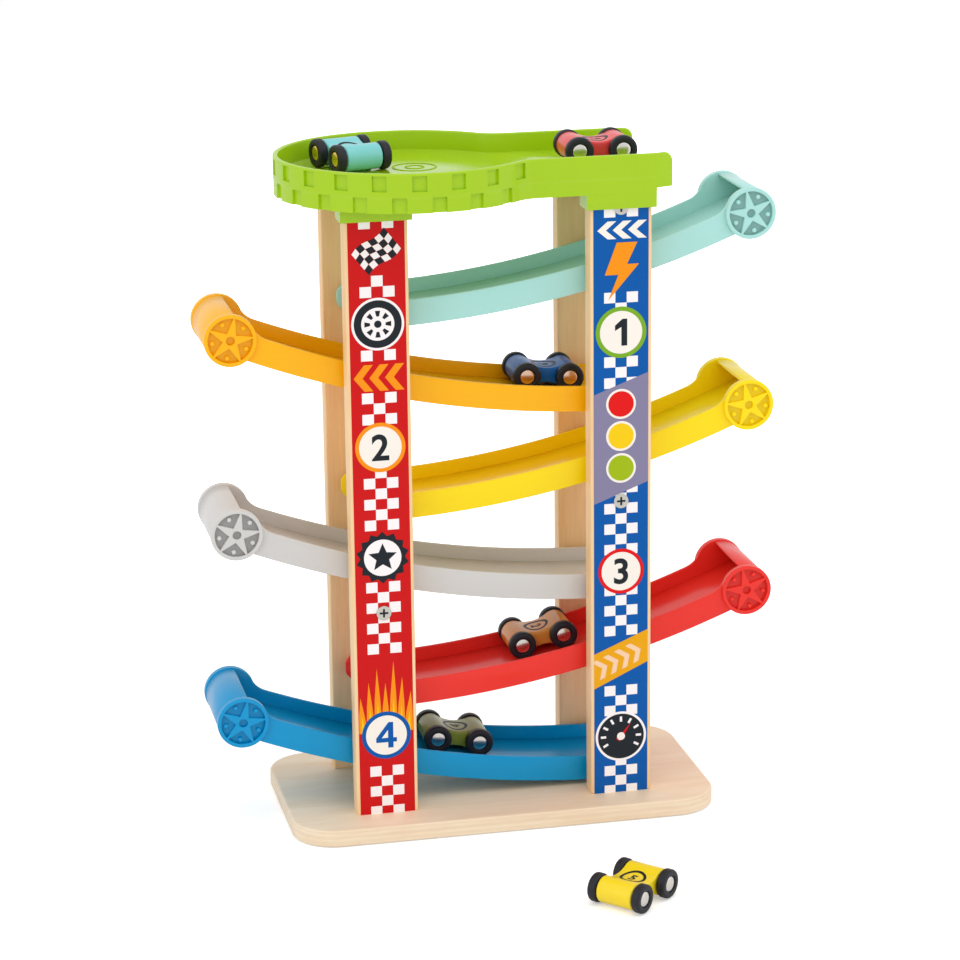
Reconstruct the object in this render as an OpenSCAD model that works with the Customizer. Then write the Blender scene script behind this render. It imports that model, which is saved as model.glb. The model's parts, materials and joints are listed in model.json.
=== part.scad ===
// Click clack track tower: a base plate, four posts, six curved ramps with star drums,
// a dish shaped top tray and six small cars. Millimetres, +Z up, and the front faces -Y.
// The origin is the middle of the base plate's underside.

/* [Base] */
// Length of the base plate, left to right
base_length = 252; // [236:1:280]
// Depth of the base plate, front to back
base_depth = 133; // [120:1:160]
// Thickness of the base plate
base_thickness = 10; // [8:0.5:14]
// Corner radius of the base plate
base_corner_radius = 26; // [12:1:36]
// Radius of the base plate's eased edges
base_edge_radius = 1.5; // [0.5:0.25:3]

/* [Posts] */
// Height of a post
post_height = 363.5; // [350:0.5:400]
// Width of a post
post_width = 36; // [32:0.5:40]
// Thickness of a post
post_thickness = 12; // [11:0.5:15]
// Distance between the middles of the left and the right posts
post_spread = 140; // [132:1:148]
// Clear depth between a front post and a rear post
post_gap = 66; // [65:0.5:72]

/* [Spacer bars and screws] */
// Diameter of a spacer bar
bar_diameter = 12; // [9:0.5:13]
// Height of a lower spacer bar below the peg of the ramp above it
bar_drop = 19.6; // [18:0.2:26]
// Depth of the upper right bar's middle below the post tops
right_bar_drop = 13.4; // [10:0.2:16]
// Depth of the upper left bar's middle below the post tops
left_bar_drop = 8; // [7.5:0.1:12]
// Diameter of a screw head
screw_head_diameter = 8.5; // [7:0.5:10]
// Depth of a screw's countersunk head
screw_head_depth = 2.6; // [2:0.1:3.5]
// Diameter of a screw shank
screw_shank_diameter = 3.5; // [3:0.1:4.2]
// Length of a screw past the piece that its head sits in
screw_bite = 18; // [12:1:22]
// Distance of a base screw from the middle of its post
base_screw_offset = 10; // [8:0.5:12]

/* [Ramps] */
// Width of a ramp over its side walls
track_width = 56; // [52:0.5:58]
// Thickness of a ramp's side walls
track_wall = 2; // [1.6:0.1:3]
// Height of a ramp's side walls
track_wall_height = 15; // [13:0.5:17]
// Depth of the running floor below the rims
track_floor_depth = 8; // [6:0.5:9]
// Thickness of the running floor
track_floor_thickness = 2; // [1.6:0.1:3]
// Radius of the arc that the rims follow
track_arc_radius = 573; // [520:1:640]
// Distance of a drum's middle from the middle of the nearer posts
drum_outreach = 80.8; // [74:0.2:90]
// Distance that the low end runs past the middle of the far posts
low_end_overhang = 11; // [9:0.2:16]
// Length of the low end past the lowest point of the arc
low_end_lift = 3.1; // [1:0.1:10]
// Radius of the rounded corners at the low end of a side wall
low_end_rounding = 6; // [4:0.5:7]
// Clear height between the lowest ramp and the base plate
lowest_track_gap = 2.3; // [1:0.1:6]
// Depth of the highest drum's middle below the post tops
highest_drum_drop = 23.9; // [22:0.1:30]

/* [Drums] */
// Radius of a drum's end discs
drum_radius = 14.9; // [14:0.1:16]
// Height of a drum's face above the side wall that carries it
drum_face_height = 2.5; // [1.5:0.1:3.5]
// Height of the rims above a drum's middle
drum_rim_rise = 7; // [5:0.5:9]
// Radius of the star field on a drum's face
star_field_radius = 12.7; // [11:0.1:12.8]
// Depth of the star field
star_field_depth = 2; // [1:0.1:2.5]
// Radius of the valleys between a star's points
star_valley_radius = 4.4; // [4:0.1:6]
// Lean of a star's upper point toward its ramp, in degrees
star_lean = 12; // [0:1:30]
// Wall of the curved shell between a drum's discs
drum_shell = 2; // [1.5:0.1:3]

/* [Top tray] */
// Radius of the dish over its wall
dish_radius = 75; // [72:0.5:80]
// Distance of the dish's middle from the middle of the left posts
dish_shift = 26; // [22:0.5:28]
// Thickness of the tray's walls
tray_wall = 3; // [2:0.1:4]
// Height of the tray's wall from skirt to rim
tray_wall_height = 22; // [20:0.5:26]
// Height of the rim above the dish's floor
rim_height = 14; // [13:0.5:17]
// Height of the lane's floor above the dish's floor
lane_rise = 3; // [2.5:0.1:5]
// Thickness of the tray's floors
tray_floor = 2.5; // [2:0.1:3.5]
// Radius of the dish's flat floor
dish_flat_radius = 64; // [60:0.5:67]
// Radius of the hollow fillets between dish and lane
neck_radius = 20; // [14:0.5:26]
// Length of the guide wings past the lane's end
wing_length = 10; // [6:0.5:12]
// Distance that a wing bends inward over its length
wing_bend = 4; // [1:0.5:6]
// Wall of the sockets that cap the posts
socket_wall = 2; // [1.6:0.1:3]
// Depth of a socket from a post's top
socket_depth = 14; // [12:0.5:18]

/* [Cars] */
// Distance between a car's axles
car_wheelbase = 25.5; // [24:0.5:28]
// Width of a car's body
car_body_width = 22.4; // [20:0.2:24]
// Radius of a car body's round ends
car_lobe_radius = 7.5; // [6.5:0.1:7.8]
// Radius of the hollows that form a car's waist
car_waist_radius = 20; // [16:0.5:26]
// Diameter of a wheel
wheel_diameter = 16.4; // [16.2:0.1:17]
// Width of a wheel
wheel_width = 5.2; // [4.4:0.1:5.6]
// Diameter of an axle
axle_diameter = 2.5; // [2:0.1:3]
// Diameter of an axle's domed head
axle_head_diameter = 9; // [7:0.1:9.6]
// Distance of the dark blue car's middle from its ramp's drum
dark_blue_run = 187.5; // [120:0.5:215]
// Distance of the ochre car's middle from its ramp's drum
ochre_run = 118.3; // [60:0.5:215]
// Distance of the olive car's middle from its ramp's drum
olive_run = 131.3; // [60:0.5:215]
// Distance of the cars on the ramps behind the ramps' middle
track_car_shift = 8; // [0:0.5:8]
// Distance of the red car's middle from the lane's end
red_car_setback = 23.8; // [22:0.2:36]
// Distance of the yellow car's middle in front of the base plate
yellow_car_distance = 111.7; // [60:0.5:140]

/* [Hidden] */

$fn = 96;
// Fineness of the long arcs
arc_fn = 360;
// Overrun of every cut past the surface that it opens
overrun = 1;
// Sides of the tower
left = -1;
right = 1;
front = -1;
rear = 1;

// Clearances
socket_clearance = 0.3;
peg_clearance = 0.1;
thread_clearance = 0.05;
axle_clearance = 0.1;
hub_clearance = 0.02;
wheel_side_gap = 0.4;
wheel_floor_gap = 0.2;

// Paints and plastics
track_colours = ["aquamarine", "orange", "gold", "gainsboro", "crimson", "dodgerblue"];
car_colours = ["lightseagreen", "indianred", "midnightblue", "goldenrod", "olivedrab", "yellow"];
mint = 0;
orange = 1;
yellow = 2;
white = 3;
red = 4;
blue = 5;
teal_car = 0;
red_car = 1;
dark_blue_car = 2;
ochre_car = 3;
olive_car = 4;
yellow_car = 5;

// Posts
post_top = base_thickness + post_height;
post_x = post_spread / 2;
post_inner_y = post_gap / 2;
post_outer_y = post_inner_y + post_thickness;
post_middle_y = post_inner_y + post_thickness / 2;

// Ramps, in a frame with the drum's middle at the origin and the channel toward -X
track_count = 6;
drum_x = post_x + drum_outreach;
track_reach = drum_outreach + post_spread + low_end_overhang - low_end_lift;
drum_arc_radius = track_arc_radius + drum_rim_rise;
arc_rise = sqrt(drum_arc_radius * drum_arc_radius - track_reach * track_reach);
drum_angle = asin(track_reach / drum_arc_radius);
// Angle from the arc's lowest point to the start of the rounded low end
low_angle = asin((low_end_lift - low_end_rounding) / track_arc_radius);
floor_radius = track_arc_radius + track_floor_depth;
wall_foot_radius = track_arc_radius + track_wall_height;
peg_arc_radius = track_arc_radius + track_wall_height / 2;
lowest_drum_z = base_thickness + lowest_track_gap + wall_foot_radius - arc_rise;
highest_drum_z = post_top - highest_drum_drop;
track_pitch = (highest_drum_z - lowest_drum_z) / (track_count - 1);
track_inner_y = track_width / 2 - track_wall;
boss_diameter = 8;
peg_diameter = 5;
peg_length = 8;
drum_rim_bevel = 1;
// Step by which a drum is wider inside than its ramp's channel
drum_inner_step = 0.3;
// Step by which the rounded low end is shallower than the side wall
low_end_overlap = 0.05;
// Shell of a drum, as angles from the outer side: its upper and its lower edge
shell_top_angle = 100;
shell_foot_angle = -110;
// Bumps between a star's points and the dimple in its hub
star_points = 5;
star_bump_radius = 1.3;
star_bump_share = 0.8;
hub_dimple_radius = 2.6;

// Top tray
dish_x = -post_x + dish_shift;
dish_floor_z = post_top + tray_floor;
lane_floor_z = dish_floor_z + lane_rise;
rim_z = dish_floor_z + rim_height;
skirt_z = rim_z - tray_wall_height;
socket_z = post_top - socket_depth;
socket_half_width = post_width / 2 + socket_clearance + socket_wall;
lane_half = post_outer_y + socket_clearance + socket_wall;
lane_end_x = post_x + socket_half_width;
neck_y = lane_half + neck_radius;
neck_reach = dish_radius + neck_radius;
neck_x = dish_x + sqrt(neck_reach * neck_reach - neck_y * neck_y);
neck_angle = asin(neck_y / neck_reach);
dish_steps = 120;
// Ledge between the foot of the dish's wall and its sloping rim
bowl_ledge = 0.5;
neck_steps = 16;
wing_height = 19.5;
wing_corner_radius = 5;
// Brick pattern on the dish's wall
brick_step = 17;
brick_width = 8;
brick_height = 8.5;
brick_depth = 1.5;
brick_rim_margin = 1.5;
upper_brick_reach = 7;
lower_brick_reach = 7.5;
neck_brick_share = 0.15;

// Spacer bars
upper_right_bar_z = post_top - right_bar_drop;
upper_left_bar_z = post_top - left_bar_drop;
middle_right_bar_z = peg_z(yellow, right) - bar_drop;
lower_left_bar_z = peg_z(white, left) - bar_drop;
screw_slot_length = 4.8;
screw_slot_width = 1.1;
screw_slot_depth = 1.2;
screw_head_sink = 0.2;

// Cars, in a frame with the wheels' lowest points at z = 0 and the car along X
wheel_radius = wheel_diameter / 2;
half_wheelbase = car_wheelbase / 2;
half_body = car_body_width / 2;
wheel_inner_y = half_body + wheel_side_gap;
wheel_outer_y = wheel_inner_y + wheel_width;
wheel_bevel = 0.9;
wheel_dish_depth = 1.6;
wheel_dish_radius = axle_head_diameter / 2 + wheel_side_gap / 2;
axle_head_rim = 0.6;
axle_head_dome = 1.1;
// Overlap of the waist's hollows with the round ends, which keeps the joint crisp
waist_bite = 0.05;
waist_centre = sqrt(pow(car_lobe_radius + car_waist_radius, 2) - half_wheelbase * half_wheelbase);
waist_share = car_lobe_radius / (car_lobe_radius + car_waist_radius);
// The teal car's place in the dish and the headings of the two free cars
teal_car_x = dish_x - dish_shift;
teal_car_y = 32;
teal_heading = 106.5;
yellow_car_x = 41.6;
yellow_heading = 42;
axle_arc_radius = floor_radius - wheel_floor_gap - wheel_radius;
car_arc_drop = sqrt(axle_arc_radius * axle_arc_radius - half_wheelbase * half_wheelbase);

// Height of a ramp's drum above the ground, counted down from the highest
function drum_z(step) = highest_drum_z - step * track_pitch;

// Even ramps have their drum at the right, odd ramps at the left
function track_side(step) = step % 2 == 0 ? right : left;

// Height of an arc of the ramps at a distance from the drum, measured from the drum's middle
function arc_z(radius, run) = arc_rise - sqrt(radius * radius - pow(track_reach - run, 2));

// Distance from a ramp's drum to the posts at one side
function post_run(step, side) = track_side(step) == side ? drum_outreach : drum_outreach + post_spread;

// Height of a ramp's peg in the posts at one side
function peg_z(step, side) = drum_z(step) + arc_z(peg_arc_radius, post_run(step, side));

// Points along an arc about a centre
function arc_points(centre, radius, from, to, steps) =
  [for (i = [0:steps]) let (a = from + (to - from) * i / steps) centre + radius * [cos(a), sin(a)]];

// Plan of the tray, drawn in by an inset: lane end, neck, dish, neck, lane end
function tray_outline(inset, end_x) = concat(
  [[end_x, lane_half - inset]],
  arc_points([neck_x, neck_y], neck_radius + inset, 270, 180 + neck_angle, neck_steps),
  arc_points([dish_x, 0], dish_radius - inset, neck_angle, 360 - neck_angle, dish_steps),
  arc_points([neck_x, -neck_y], neck_radius + inset, 180 - neck_angle, 90, neck_steps),
  [[end_x, -lane_half + inset]]
);

function star_outline() = [
  for (i = [0:2 * star_points - 1])
    let (r = i % 2 == 0 ? star_field_radius + drum_rim_bevel / 2 : star_valley_radius)
    let (a = 90 + star_lean + i * 180 / star_points)
    r * [cos(a), sin(a)]
];

function car_run(car) = car == dark_blue_car ? dark_blue_run : car == ochre_car ? ochre_run : olive_run;

function car_step(car) = car == dark_blue_car ? orange : car == ochre_car ? red : blue;

// A screw with its head's face at z = 0 and its point toward -Z
module wood_screw(grip) {
  color("silver")
    difference() {
      union() {
        translate([0, 0, -screw_head_depth])
          cylinder(h = screw_head_depth, d1 = screw_shank_diameter, d2 = screw_head_diameter);
        translate([0, 0, -grip - screw_bite])
          cylinder(h = grip + screw_bite - screw_head_depth / 2, d = screw_shank_diameter);
      }
      for (turn = [0, 90])
        rotate([0, 0, turn])
          translate([-screw_slot_length / 2, -screw_slot_width / 2, -screw_slot_depth])
            cube([screw_slot_length, screw_slot_width, screw_slot_depth + overrun]);
    }
}

// The countersunk hole that a screw passes through, in the screw's own frame
module screw_hole(grip) {
  seat = screw_head_diameter + 2 * thread_clearance;
  shank = screw_shank_diameter + 2 * thread_clearance;
  translate([0, 0, -screw_head_depth])
    cylinder(h = screw_head_depth, d1 = shank, d2 = seat);
  translate([0, 0, -overrun / 2])
    cylinder(h = overrun + screw_head_sink, d = seat);
  translate([0, 0, -grip - screw_bite - overrun])
    cylinder(h = grip + screw_bite + overrun, d = shank);
}

// A place for a bar's screw in the outer face of a post
module at_bar_screw(side, row, z) {
  translate([side * post_x, row * (post_outer_y - screw_head_sink), z])
    rotate([-row * 90, 0, 0])
      children();
}

module at_bars_of(side, row) {
  at_bar_screw(side, row, side == left ? upper_left_bar_z : upper_right_bar_z)
    children();
  at_bar_screw(side, row, side == left ? lower_left_bar_z : middle_right_bar_z)
    children();
}

// The two places under a post where a base screw goes up into it
module at_base_screws(side, row) {
  for (shift = [-base_screw_offset, base_screw_offset])
    translate([side * post_x + shift, row * post_middle_y, screw_head_sink])
      rotate([180, 0, 0])
        children();
}

// Cross section of the base plate's rim, as a bar of a given width with round edges
module eased_section(width) {
  e = base_edge_radius;
  translate([-width / 2, e])
    square([width, base_thickness - 2 * e]);
  translate([-width / 2 + e, 0])
    square([width - 2 * e, base_thickness]);
  for (x = [-width / 2 + e, width / 2 - e])
    for (y = [e, base_thickness - e])
      translate([x, y])
        circle(r = e);
}

module base_plate() {
  half_length = base_length / 2 - base_corner_radius;
  half_depth = base_depth / 2 - base_corner_radius;
  color("burlywood")
    difference() {
      union() {
        rotate([90, 0, 0])
          translate([0, 0, -half_depth])
            linear_extrude(2 * half_depth)
              eased_section(base_length);
        rotate([90, 0, 90])
          translate([0, 0, -half_length])
            linear_extrude(2 * half_length)
              eased_section(base_depth);
        for (x = [-half_length, half_length])
          for (y = [-half_depth, half_depth])
            translate([x, y, 0])
              rotate_extrude()
                intersection() {
                  eased_section(2 * base_corner_radius);
                  square([base_corner_radius, base_thickness]);
                }
      }
      for (side = [left, right])
        for (row = [front, rear])
          at_base_screws(side, row)
            screw_hole(base_thickness);
    }
}

module post(side, row) {
  color("wheat")
    difference() {
      translate([side * post_x - post_width / 2, row * post_middle_y - post_thickness / 2, base_thickness])
        cube([post_width, post_thickness, post_height]);
      for (step = [0:track_count - 1])
        translate([side * post_x, row * (post_inner_y - overrun), peg_z(step, side)])
          rotate([-row * 90, 0, 0])
            cylinder(h = peg_length + overrun + peg_clearance, d = peg_diameter + 2 * peg_clearance);
      at_bars_of(side, row)
        screw_hole(post_thickness);
      at_base_screws(side, row)
        screw_hole(base_thickness);
    }
}

// A round bar between a front and a rear post, with a pilot bore in each end
module spacer_bar(side, z) {
  color("peru")
    difference() {
      translate([side * post_x, post_inner_y, z])
        rotate([90, 0, 0])
          cylinder(h = post_gap, d = bar_diameter);
      for (row = [front, rear])
        at_bar_screw(side, row, z)
          screw_hole(post_thickness);
    }
}

module front_screws() {
  for (side = [left, right])
    at_bars_of(side, front)
      wood_screw(post_thickness);
}

module rear_screws() {
  for (side = [left, right])
    at_bars_of(side, rear)
      wood_screw(post_thickness);
}

module base_screws() {
  for (side = [left, right])
    for (row = [front, rear])
      at_base_screws(side, row)
        wood_screw(base_thickness);
}

// Places a ramp's own frame in the tower
module at_track(step) {
  translate([track_side(step) * drum_x, 0, drum_z(step)])
    rotate([0, 0, track_side(step) == right ? 0 : 180])
      children();
}

// Sweeps a section along the ramp's arc, between two angles from the arc's lowest point
module sweep_ramp(from, to) {
  translate([-track_reach, 0, arc_rise])
    rotate([90, 0, 0])
      rotate([0, 0, 270 + from])
        rotate_extrude(angle = to - from, $fn = arc_fn)
          children();
}

module ramp_wall() {
  translate([track_arc_radius, track_inner_y])
    square([track_wall_height, track_wall]);
}

// Rounded low end of a side wall, which goes on from the swept part
module wall_low_end() {
  outer = track_wall_height - low_end_rounding - low_end_overlap;
  inner = low_end_rounding + low_end_overlap;
  translate([-track_reach, 0, arc_rise])
    rotate([90, 0, 0])
      rotate([0, 0, 270 - low_angle])
        translate([track_arc_radius, 0, track_inner_y])
          linear_extrude(track_wall) {
            for (depth = [inner, outer])
              translate([depth, 0])
                circle(r = low_end_rounding);
            translate([inner, -low_end_rounding])
              square([outer - inner, low_end_rounding]);
          }
}

module ramp_floor() {
  translate([floor_radius, -track_inner_y - track_wall / 2])
    square([track_floor_thickness, 2 * track_inner_y + track_wall]);
}

// End disc of a drum, with its inner face at z = 0 and the star on top
module star_disc() {
  height = track_wall + drum_face_height - drum_inner_step;
  difference() {
    rotate_extrude()
      polygon([[0, 0], [drum_radius, 0], [drum_radius, height - drum_rim_bevel],
        [drum_radius - drum_rim_bevel, height], [0, height]]);
    translate([0, 0, height - star_field_depth])
      linear_extrude(star_field_depth + overrun)
        difference() {
          circle(r = star_field_radius);
          polygon(star_outline());
        }
    translate([0, 0, height - star_field_depth])
      cylinder(h = star_field_depth + overrun, r = hub_dimple_radius);
  }
  for (i = [0:star_points - 1])
    rotate([0, 0, 90 + star_lean + (i + 0.5) * 360 / star_points])
      translate([star_field_radius * star_bump_share, 0, (height - star_field_depth) / 2])
        cylinder(h = (height + star_field_depth) / 2, r = star_bump_radius);
}

// Curved shell of a drum, which closes it at the outer side, above and below
module drum_back() {
  outer = drum_radius - drum_rim_bevel / 2;
  rotate([90, 0, 0])
    rotate([0, 0, shell_foot_angle])
      rotate_extrude(angle = shell_top_angle - shell_foot_angle)
        translate([outer - drum_shell, -track_inner_y - track_wall / 2])
          square([drum_shell, 2 * track_inner_y + track_wall]);
}

// Boss and peg on the side of a ramp, at the posts
module track_peg(run) {
  boss_foot = track_inner_y + track_wall / 2;
  translate([-run, 0, arc_z(peg_arc_radius, run)])
    rotate([90, 0, 0]) {
      translate([0, 0, boss_foot])
        cylinder(h = post_inner_y - boss_foot, d = boss_diameter);
      translate([0, 0, boss_foot])
        cylinder(h = post_inner_y - boss_foot + peg_length, d = peg_diameter);
    }
}

module track_side_parts() {
  sweep_ramp(-low_angle, drum_angle)
    ramp_wall();
  wall_low_end();
  rotate([90, 0, 0])
    translate([0, 0, track_inner_y + drum_inner_step])
      star_disc();
  track_peg(drum_outreach);
  track_peg(drum_outreach + post_spread);
}

module track(step) {
  floor_end = drum_angle + asin((drum_radius - drum_shell) / floor_radius);
  color(track_colours[step])
    at_track(step) {
      sweep_ramp(-low_angle, floor_end)
        ramp_floor();
      drum_back();
      track_side_parts();
      mirror([0, 1, 0])
        track_side_parts();
    }
}

module tray_slab(inset, end_x, from_z, to_z) {
  translate([0, 0, from_z])
    linear_extrude(to_z - from_z)
      polygon(tray_outline(inset, end_x));
}

// Sleeve round the top of a post, solid until its pocket is cut
module socket_block(side, row) {
  top = side == left ? post_top + tray_floor / 2 : lane_floor_z - tray_floor / 2;
  inner_y = post_inner_y - socket_clearance - socket_wall;
  y = row == front ? -lane_half : inner_y;
  translate([side * post_x - socket_half_width, y, socket_z])
    cube([2 * socket_half_width, lane_half - inner_y, top - socket_z]);
}

// Pocket for the post, with a slot in its inner wall for the spacer bar
module socket_pocket(side, row) {
  bar_z = side == left ? upper_left_bar_z : upper_right_bar_z;
  slot = bar_diameter + 2 * socket_clearance;
  inner_y = post_inner_y - socket_clearance;
  depth = post_thickness + 2 * socket_clearance;
  translate([side * post_x, 0, socket_z - overrun]) {
    translate([-post_width / 2 - socket_clearance, row == front ? -inner_y - depth : inner_y, 0])
      cube([post_width + 2 * socket_clearance, depth, socket_depth + overrun]);
    translate([-slot / 2, row == front ? -inner_y - overrun : inner_y - socket_wall - overrun, 0])
      cube([slot, socket_wall + 2 * overrun, bar_z + slot / 2 - socket_z + overrun]);
  }
}

// Guide wing past the lane's end, bent inward, with a round upper corner
module lane_wing(row) {
  end_x = lane_end_x + wing_length;
  outer = lane_half;
  difference() {
    translate([0, 0, rim_z - wing_height])
      linear_extrude(wing_height)
        polygon([
          [lane_end_x - overrun, row * outer], [lane_end_x, row * outer],
          [end_x, row * (outer - wing_bend)], [end_x, row * (outer - wing_bend - tray_wall)],
          [lane_end_x, row * (outer - tray_wall)], [lane_end_x - overrun, row * (outer - tray_wall)]
        ]);
    translate([end_x - wing_corner_radius, 0, rim_z - wing_corner_radius])
      difference() {
        translate([0, -lane_half, 0])
          cube([wing_corner_radius + overrun, 2 * lane_half, wing_corner_radius + overrun]);
        rotate([90, 0, 0])
          translate([0, 0, -lane_half])
            cylinder(h = 2 * lane_half, r = wing_corner_radius);
      }
  }
}

// One recess of the brick pattern, cut outward or inward from a radius
module brick(radius, upper) {
  z = upper ? rim_z - brick_rim_margin - brick_height : skirt_z - overrun;
  translate([radius, -brick_width / 2, z])
    cube([brick_depth + overrun, brick_width, upper ? brick_height : brick_height + overrun]);
}

module brick_pattern() {
  translate([dish_x, 0, 0]) {
    for (i = [-upper_brick_reach:upper_brick_reach])
      rotate([0, 0, 180 + i * brick_step])
        brick(dish_radius - brick_depth, true);
    for (i = [-lower_brick_reach:lower_brick_reach])
      rotate([0, 0, 180 + i * brick_step])
        brick(dish_radius - brick_depth, false);
  }
  for (row = [front, rear])
    translate([neck_x, row * neck_y, 0])
      rotate([0, 0, -row * (180 - neck_angle - neck_brick_share * (90 - neck_angle))])
        brick(neck_radius - overrun, true);
}

module top_tray() {
  bowl_slope = (dish_radius - tray_wall - bowl_ledge - dish_flat_radius) / lane_rise;
  bowl_top_radius = dish_flat_radius + bowl_slope * (lane_rise + overrun);
  under_lane_x = dish_x + dish_radius;
  under_lane_half = lane_half - tray_wall;
  color("yellowgreen")
    difference() {
      union() {
        difference() {
          tray_slab(0, lane_end_x, skirt_z, rim_z);
          tray_slab(tray_wall, lane_end_x + overrun, lane_floor_z, rim_z + overrun);
          translate([dish_x, 0, dish_floor_z])
            cylinder(h = lane_rise + overrun, r1 = dish_flat_radius, r2 = bowl_top_radius);
          tray_slab(tray_wall, lane_end_x - tray_wall, skirt_z - overrun, post_top);
          translate([under_lane_x, -under_lane_half, skirt_z])
            cube([lane_end_x - tray_wall - under_lane_x, 2 * under_lane_half,
              lane_floor_z - tray_floor - skirt_z]);
        }
        for (side = [left, right])
          for (row = [front, rear])
            socket_block(side, row);
        for (row = [front, rear])
          lane_wing(row);
      }
      for (side = [left, right])
        for (row = [front, rear])
          socket_pocket(side, row);
      brick_pattern();
    }
}

// Puts a car's own frame where the car stands
module at_car(car) {
  if (car == teal_car)
    translate([teal_car_x, teal_car_y, dish_floor_z + wheel_floor_gap])
      rotate([0, 0, teal_heading])
        children();
  else if (car == red_car)
    translate([lane_end_x - red_car_setback, 0, lane_floor_z + wheel_floor_gap])
      children();
  else if (car == yellow_car)
    translate([yellow_car_x, -base_depth / 2 - yellow_car_distance, 0])
      rotate([0, 0, yellow_heading])
        children();
  else
    at_track(car_step(car))
      translate([-track_reach, track_side(car_step(car)) * track_car_shift, arc_rise])
        rotate([0, -asin((track_reach - car_run(car)) / car_arc_drop), 0])
          translate([0, 0, -car_arc_drop - wheel_radius])
            children();
}

// Side view of a car's body: two round ends and a waist, about the axles' height
module car_outline() {
  difference() {
    union() {
      for (x = [-half_wheelbase, half_wheelbase])
        translate([x, 0])
          circle(r = car_lobe_radius);
      translate([-half_wheelbase * (1 - waist_share), -waist_centre * waist_share])
        square([2 * half_wheelbase * (1 - waist_share), 2 * waist_centre * waist_share]);
    }
    for (y = [-1, 1])
      translate([0, y * (waist_centre - waist_bite)])
        circle(r = car_waist_radius);
  }
}

module car_body(car) {
  color(car_colours[car])
    at_car(car)
      translate([0, 0, wheel_radius])
        rotate([90, 0, 0])
          difference() {
            translate([0, 0, -half_body])
              linear_extrude(car_body_width)
                car_outline();
            for (x = [-half_wheelbase, half_wheelbase])
              translate([x, 0, -half_body - overrun])
                cylinder(h = car_body_width + 2 * overrun, d = axle_diameter + 2 * axle_clearance);
          }
}

// Puts an axle's frame, with its Z axis along the axle, at one end of a car
module at_axle(car, end) {
  at_car(car)
    translate([end * half_wheelbase, 0, wheel_radius])
      rotate([90, 0, 0])
        children();
}

module axle_head() {
  foot = wheel_outer_y - wheel_dish_depth + hub_clearance;
  head_radius = axle_head_diameter / 2;
  dome_radius = (head_radius * head_radius + axle_head_dome * axle_head_dome) / (2 * axle_head_dome);
  translate([0, 0, foot])
    cylinder(h = axle_head_rim, r = head_radius);
  translate([0, 0, foot + axle_head_rim])
    intersection() {
      cylinder(h = axle_head_dome, r = head_radius);
      translate([0, 0, axle_head_dome - dome_radius])
        sphere(r = dome_radius);
    }
}

module car_axle(car, end) {
  pin_half = wheel_outer_y - wheel_dish_depth + axle_head_rim;
  color("lightgray")
    at_axle(car, end) {
      translate([0, 0, -pin_half])
        cylinder(h = 2 * pin_half, d = axle_diameter);
      axle_head();
      mirror([0, 0, 1])
        axle_head();
    }
}

// A wheel from its inner face outward, dished for the axle's head
module wheel() {
  bore = axle_diameter / 2 + hub_clearance;
  translate([0, 0, wheel_inner_y])
    rotate_extrude()
      polygon([[bore, 0], [wheel_radius - wheel_bevel, 0], [wheel_radius, wheel_bevel],
        [wheel_radius, wheel_width - wheel_bevel], [wheel_radius - wheel_bevel, wheel_width],
        [wheel_dish_radius, wheel_width], [wheel_dish_radius, wheel_width - wheel_dish_depth],
        [bore, wheel_width - wheel_dish_depth]]);
}

module car_wheels(car, end) {
  color("#222222")
    at_axle(car, end) {
      wheel();
      mirror([0, 0, 1])
        wheel();
    }
}

base_plate();
post(left, front);  // front_left_post
post(right, front);  // front_right_post
post(left, rear);  // rear_left_post
post(right, rear);  // rear_right_post
top_tray();
track(mint);  // mint_track
track(orange);  // orange_track
track(yellow);  // yellow_track
track(white);  // white_track
track(red);  // red_track
track(blue);  // blue_track
spacer_bar(left, upper_left_bar_z);  // upper_left_bar
spacer_bar(right, upper_right_bar_z);  // upper_right_bar
spacer_bar(left, lower_left_bar_z);  // lower_left_bar
spacer_bar(right, middle_right_bar_z);  // middle_right_bar
front_screws();
rear_screws();
base_screws();
car_body(teal_car);  // teal_car_body
car_axle(teal_car, front);  // teal_front_axle
car_axle(teal_car, rear);  // teal_rear_axle
car_wheels(teal_car, front);  // teal_front_wheels
car_wheels(teal_car, rear);  // teal_rear_wheels
car_body(red_car);  // red_car_body
car_axle(red_car, front);  // red_front_axle
car_axle(red_car, rear);  // red_rear_axle
car_wheels(red_car, front);  // red_front_wheels
car_wheels(red_car, rear);  // red_rear_wheels
car_body(dark_blue_car);  // dark_blue_car_body
car_axle(dark_blue_car, front);  // dark_blue_front_axle
car_axle(dark_blue_car, rear);  // dark_blue_rear_axle
car_wheels(dark_blue_car, front);  // dark_blue_front_wheels
car_wheels(dark_blue_car, rear);  // dark_blue_rear_wheels
car_body(ochre_car);  // ochre_car_body
car_axle(ochre_car, front);  // ochre_front_axle
car_axle(ochre_car, rear);  // ochre_rear_axle
car_wheels(ochre_car, front);  // ochre_front_wheels
car_wheels(ochre_car, rear);  // ochre_rear_wheels
car_body(olive_car);  // olive_car_body
car_axle(olive_car, front);  // olive_front_axle
car_axle(olive_car, rear);  // olive_rear_axle
car_wheels(olive_car, front);  // olive_front_wheels
car_wheels(olive_car, rear);  // olive_rear_wheels
car_body(yellow_car);  // yellow_car_body
car_axle(yellow_car, front);  // yellow_front_axle
car_axle(yellow_car, rear);  // yellow_rear_axle
car_wheels(yellow_car, front);  // yellow_front_wheels
car_wheels(yellow_car, rear);  // yellow_rear_wheels
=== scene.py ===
# Click clack track tower: finishes, printed posts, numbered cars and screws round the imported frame
import json
import math

import bmesh
import bpy
from mathutils import Matrix, Vector

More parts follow.
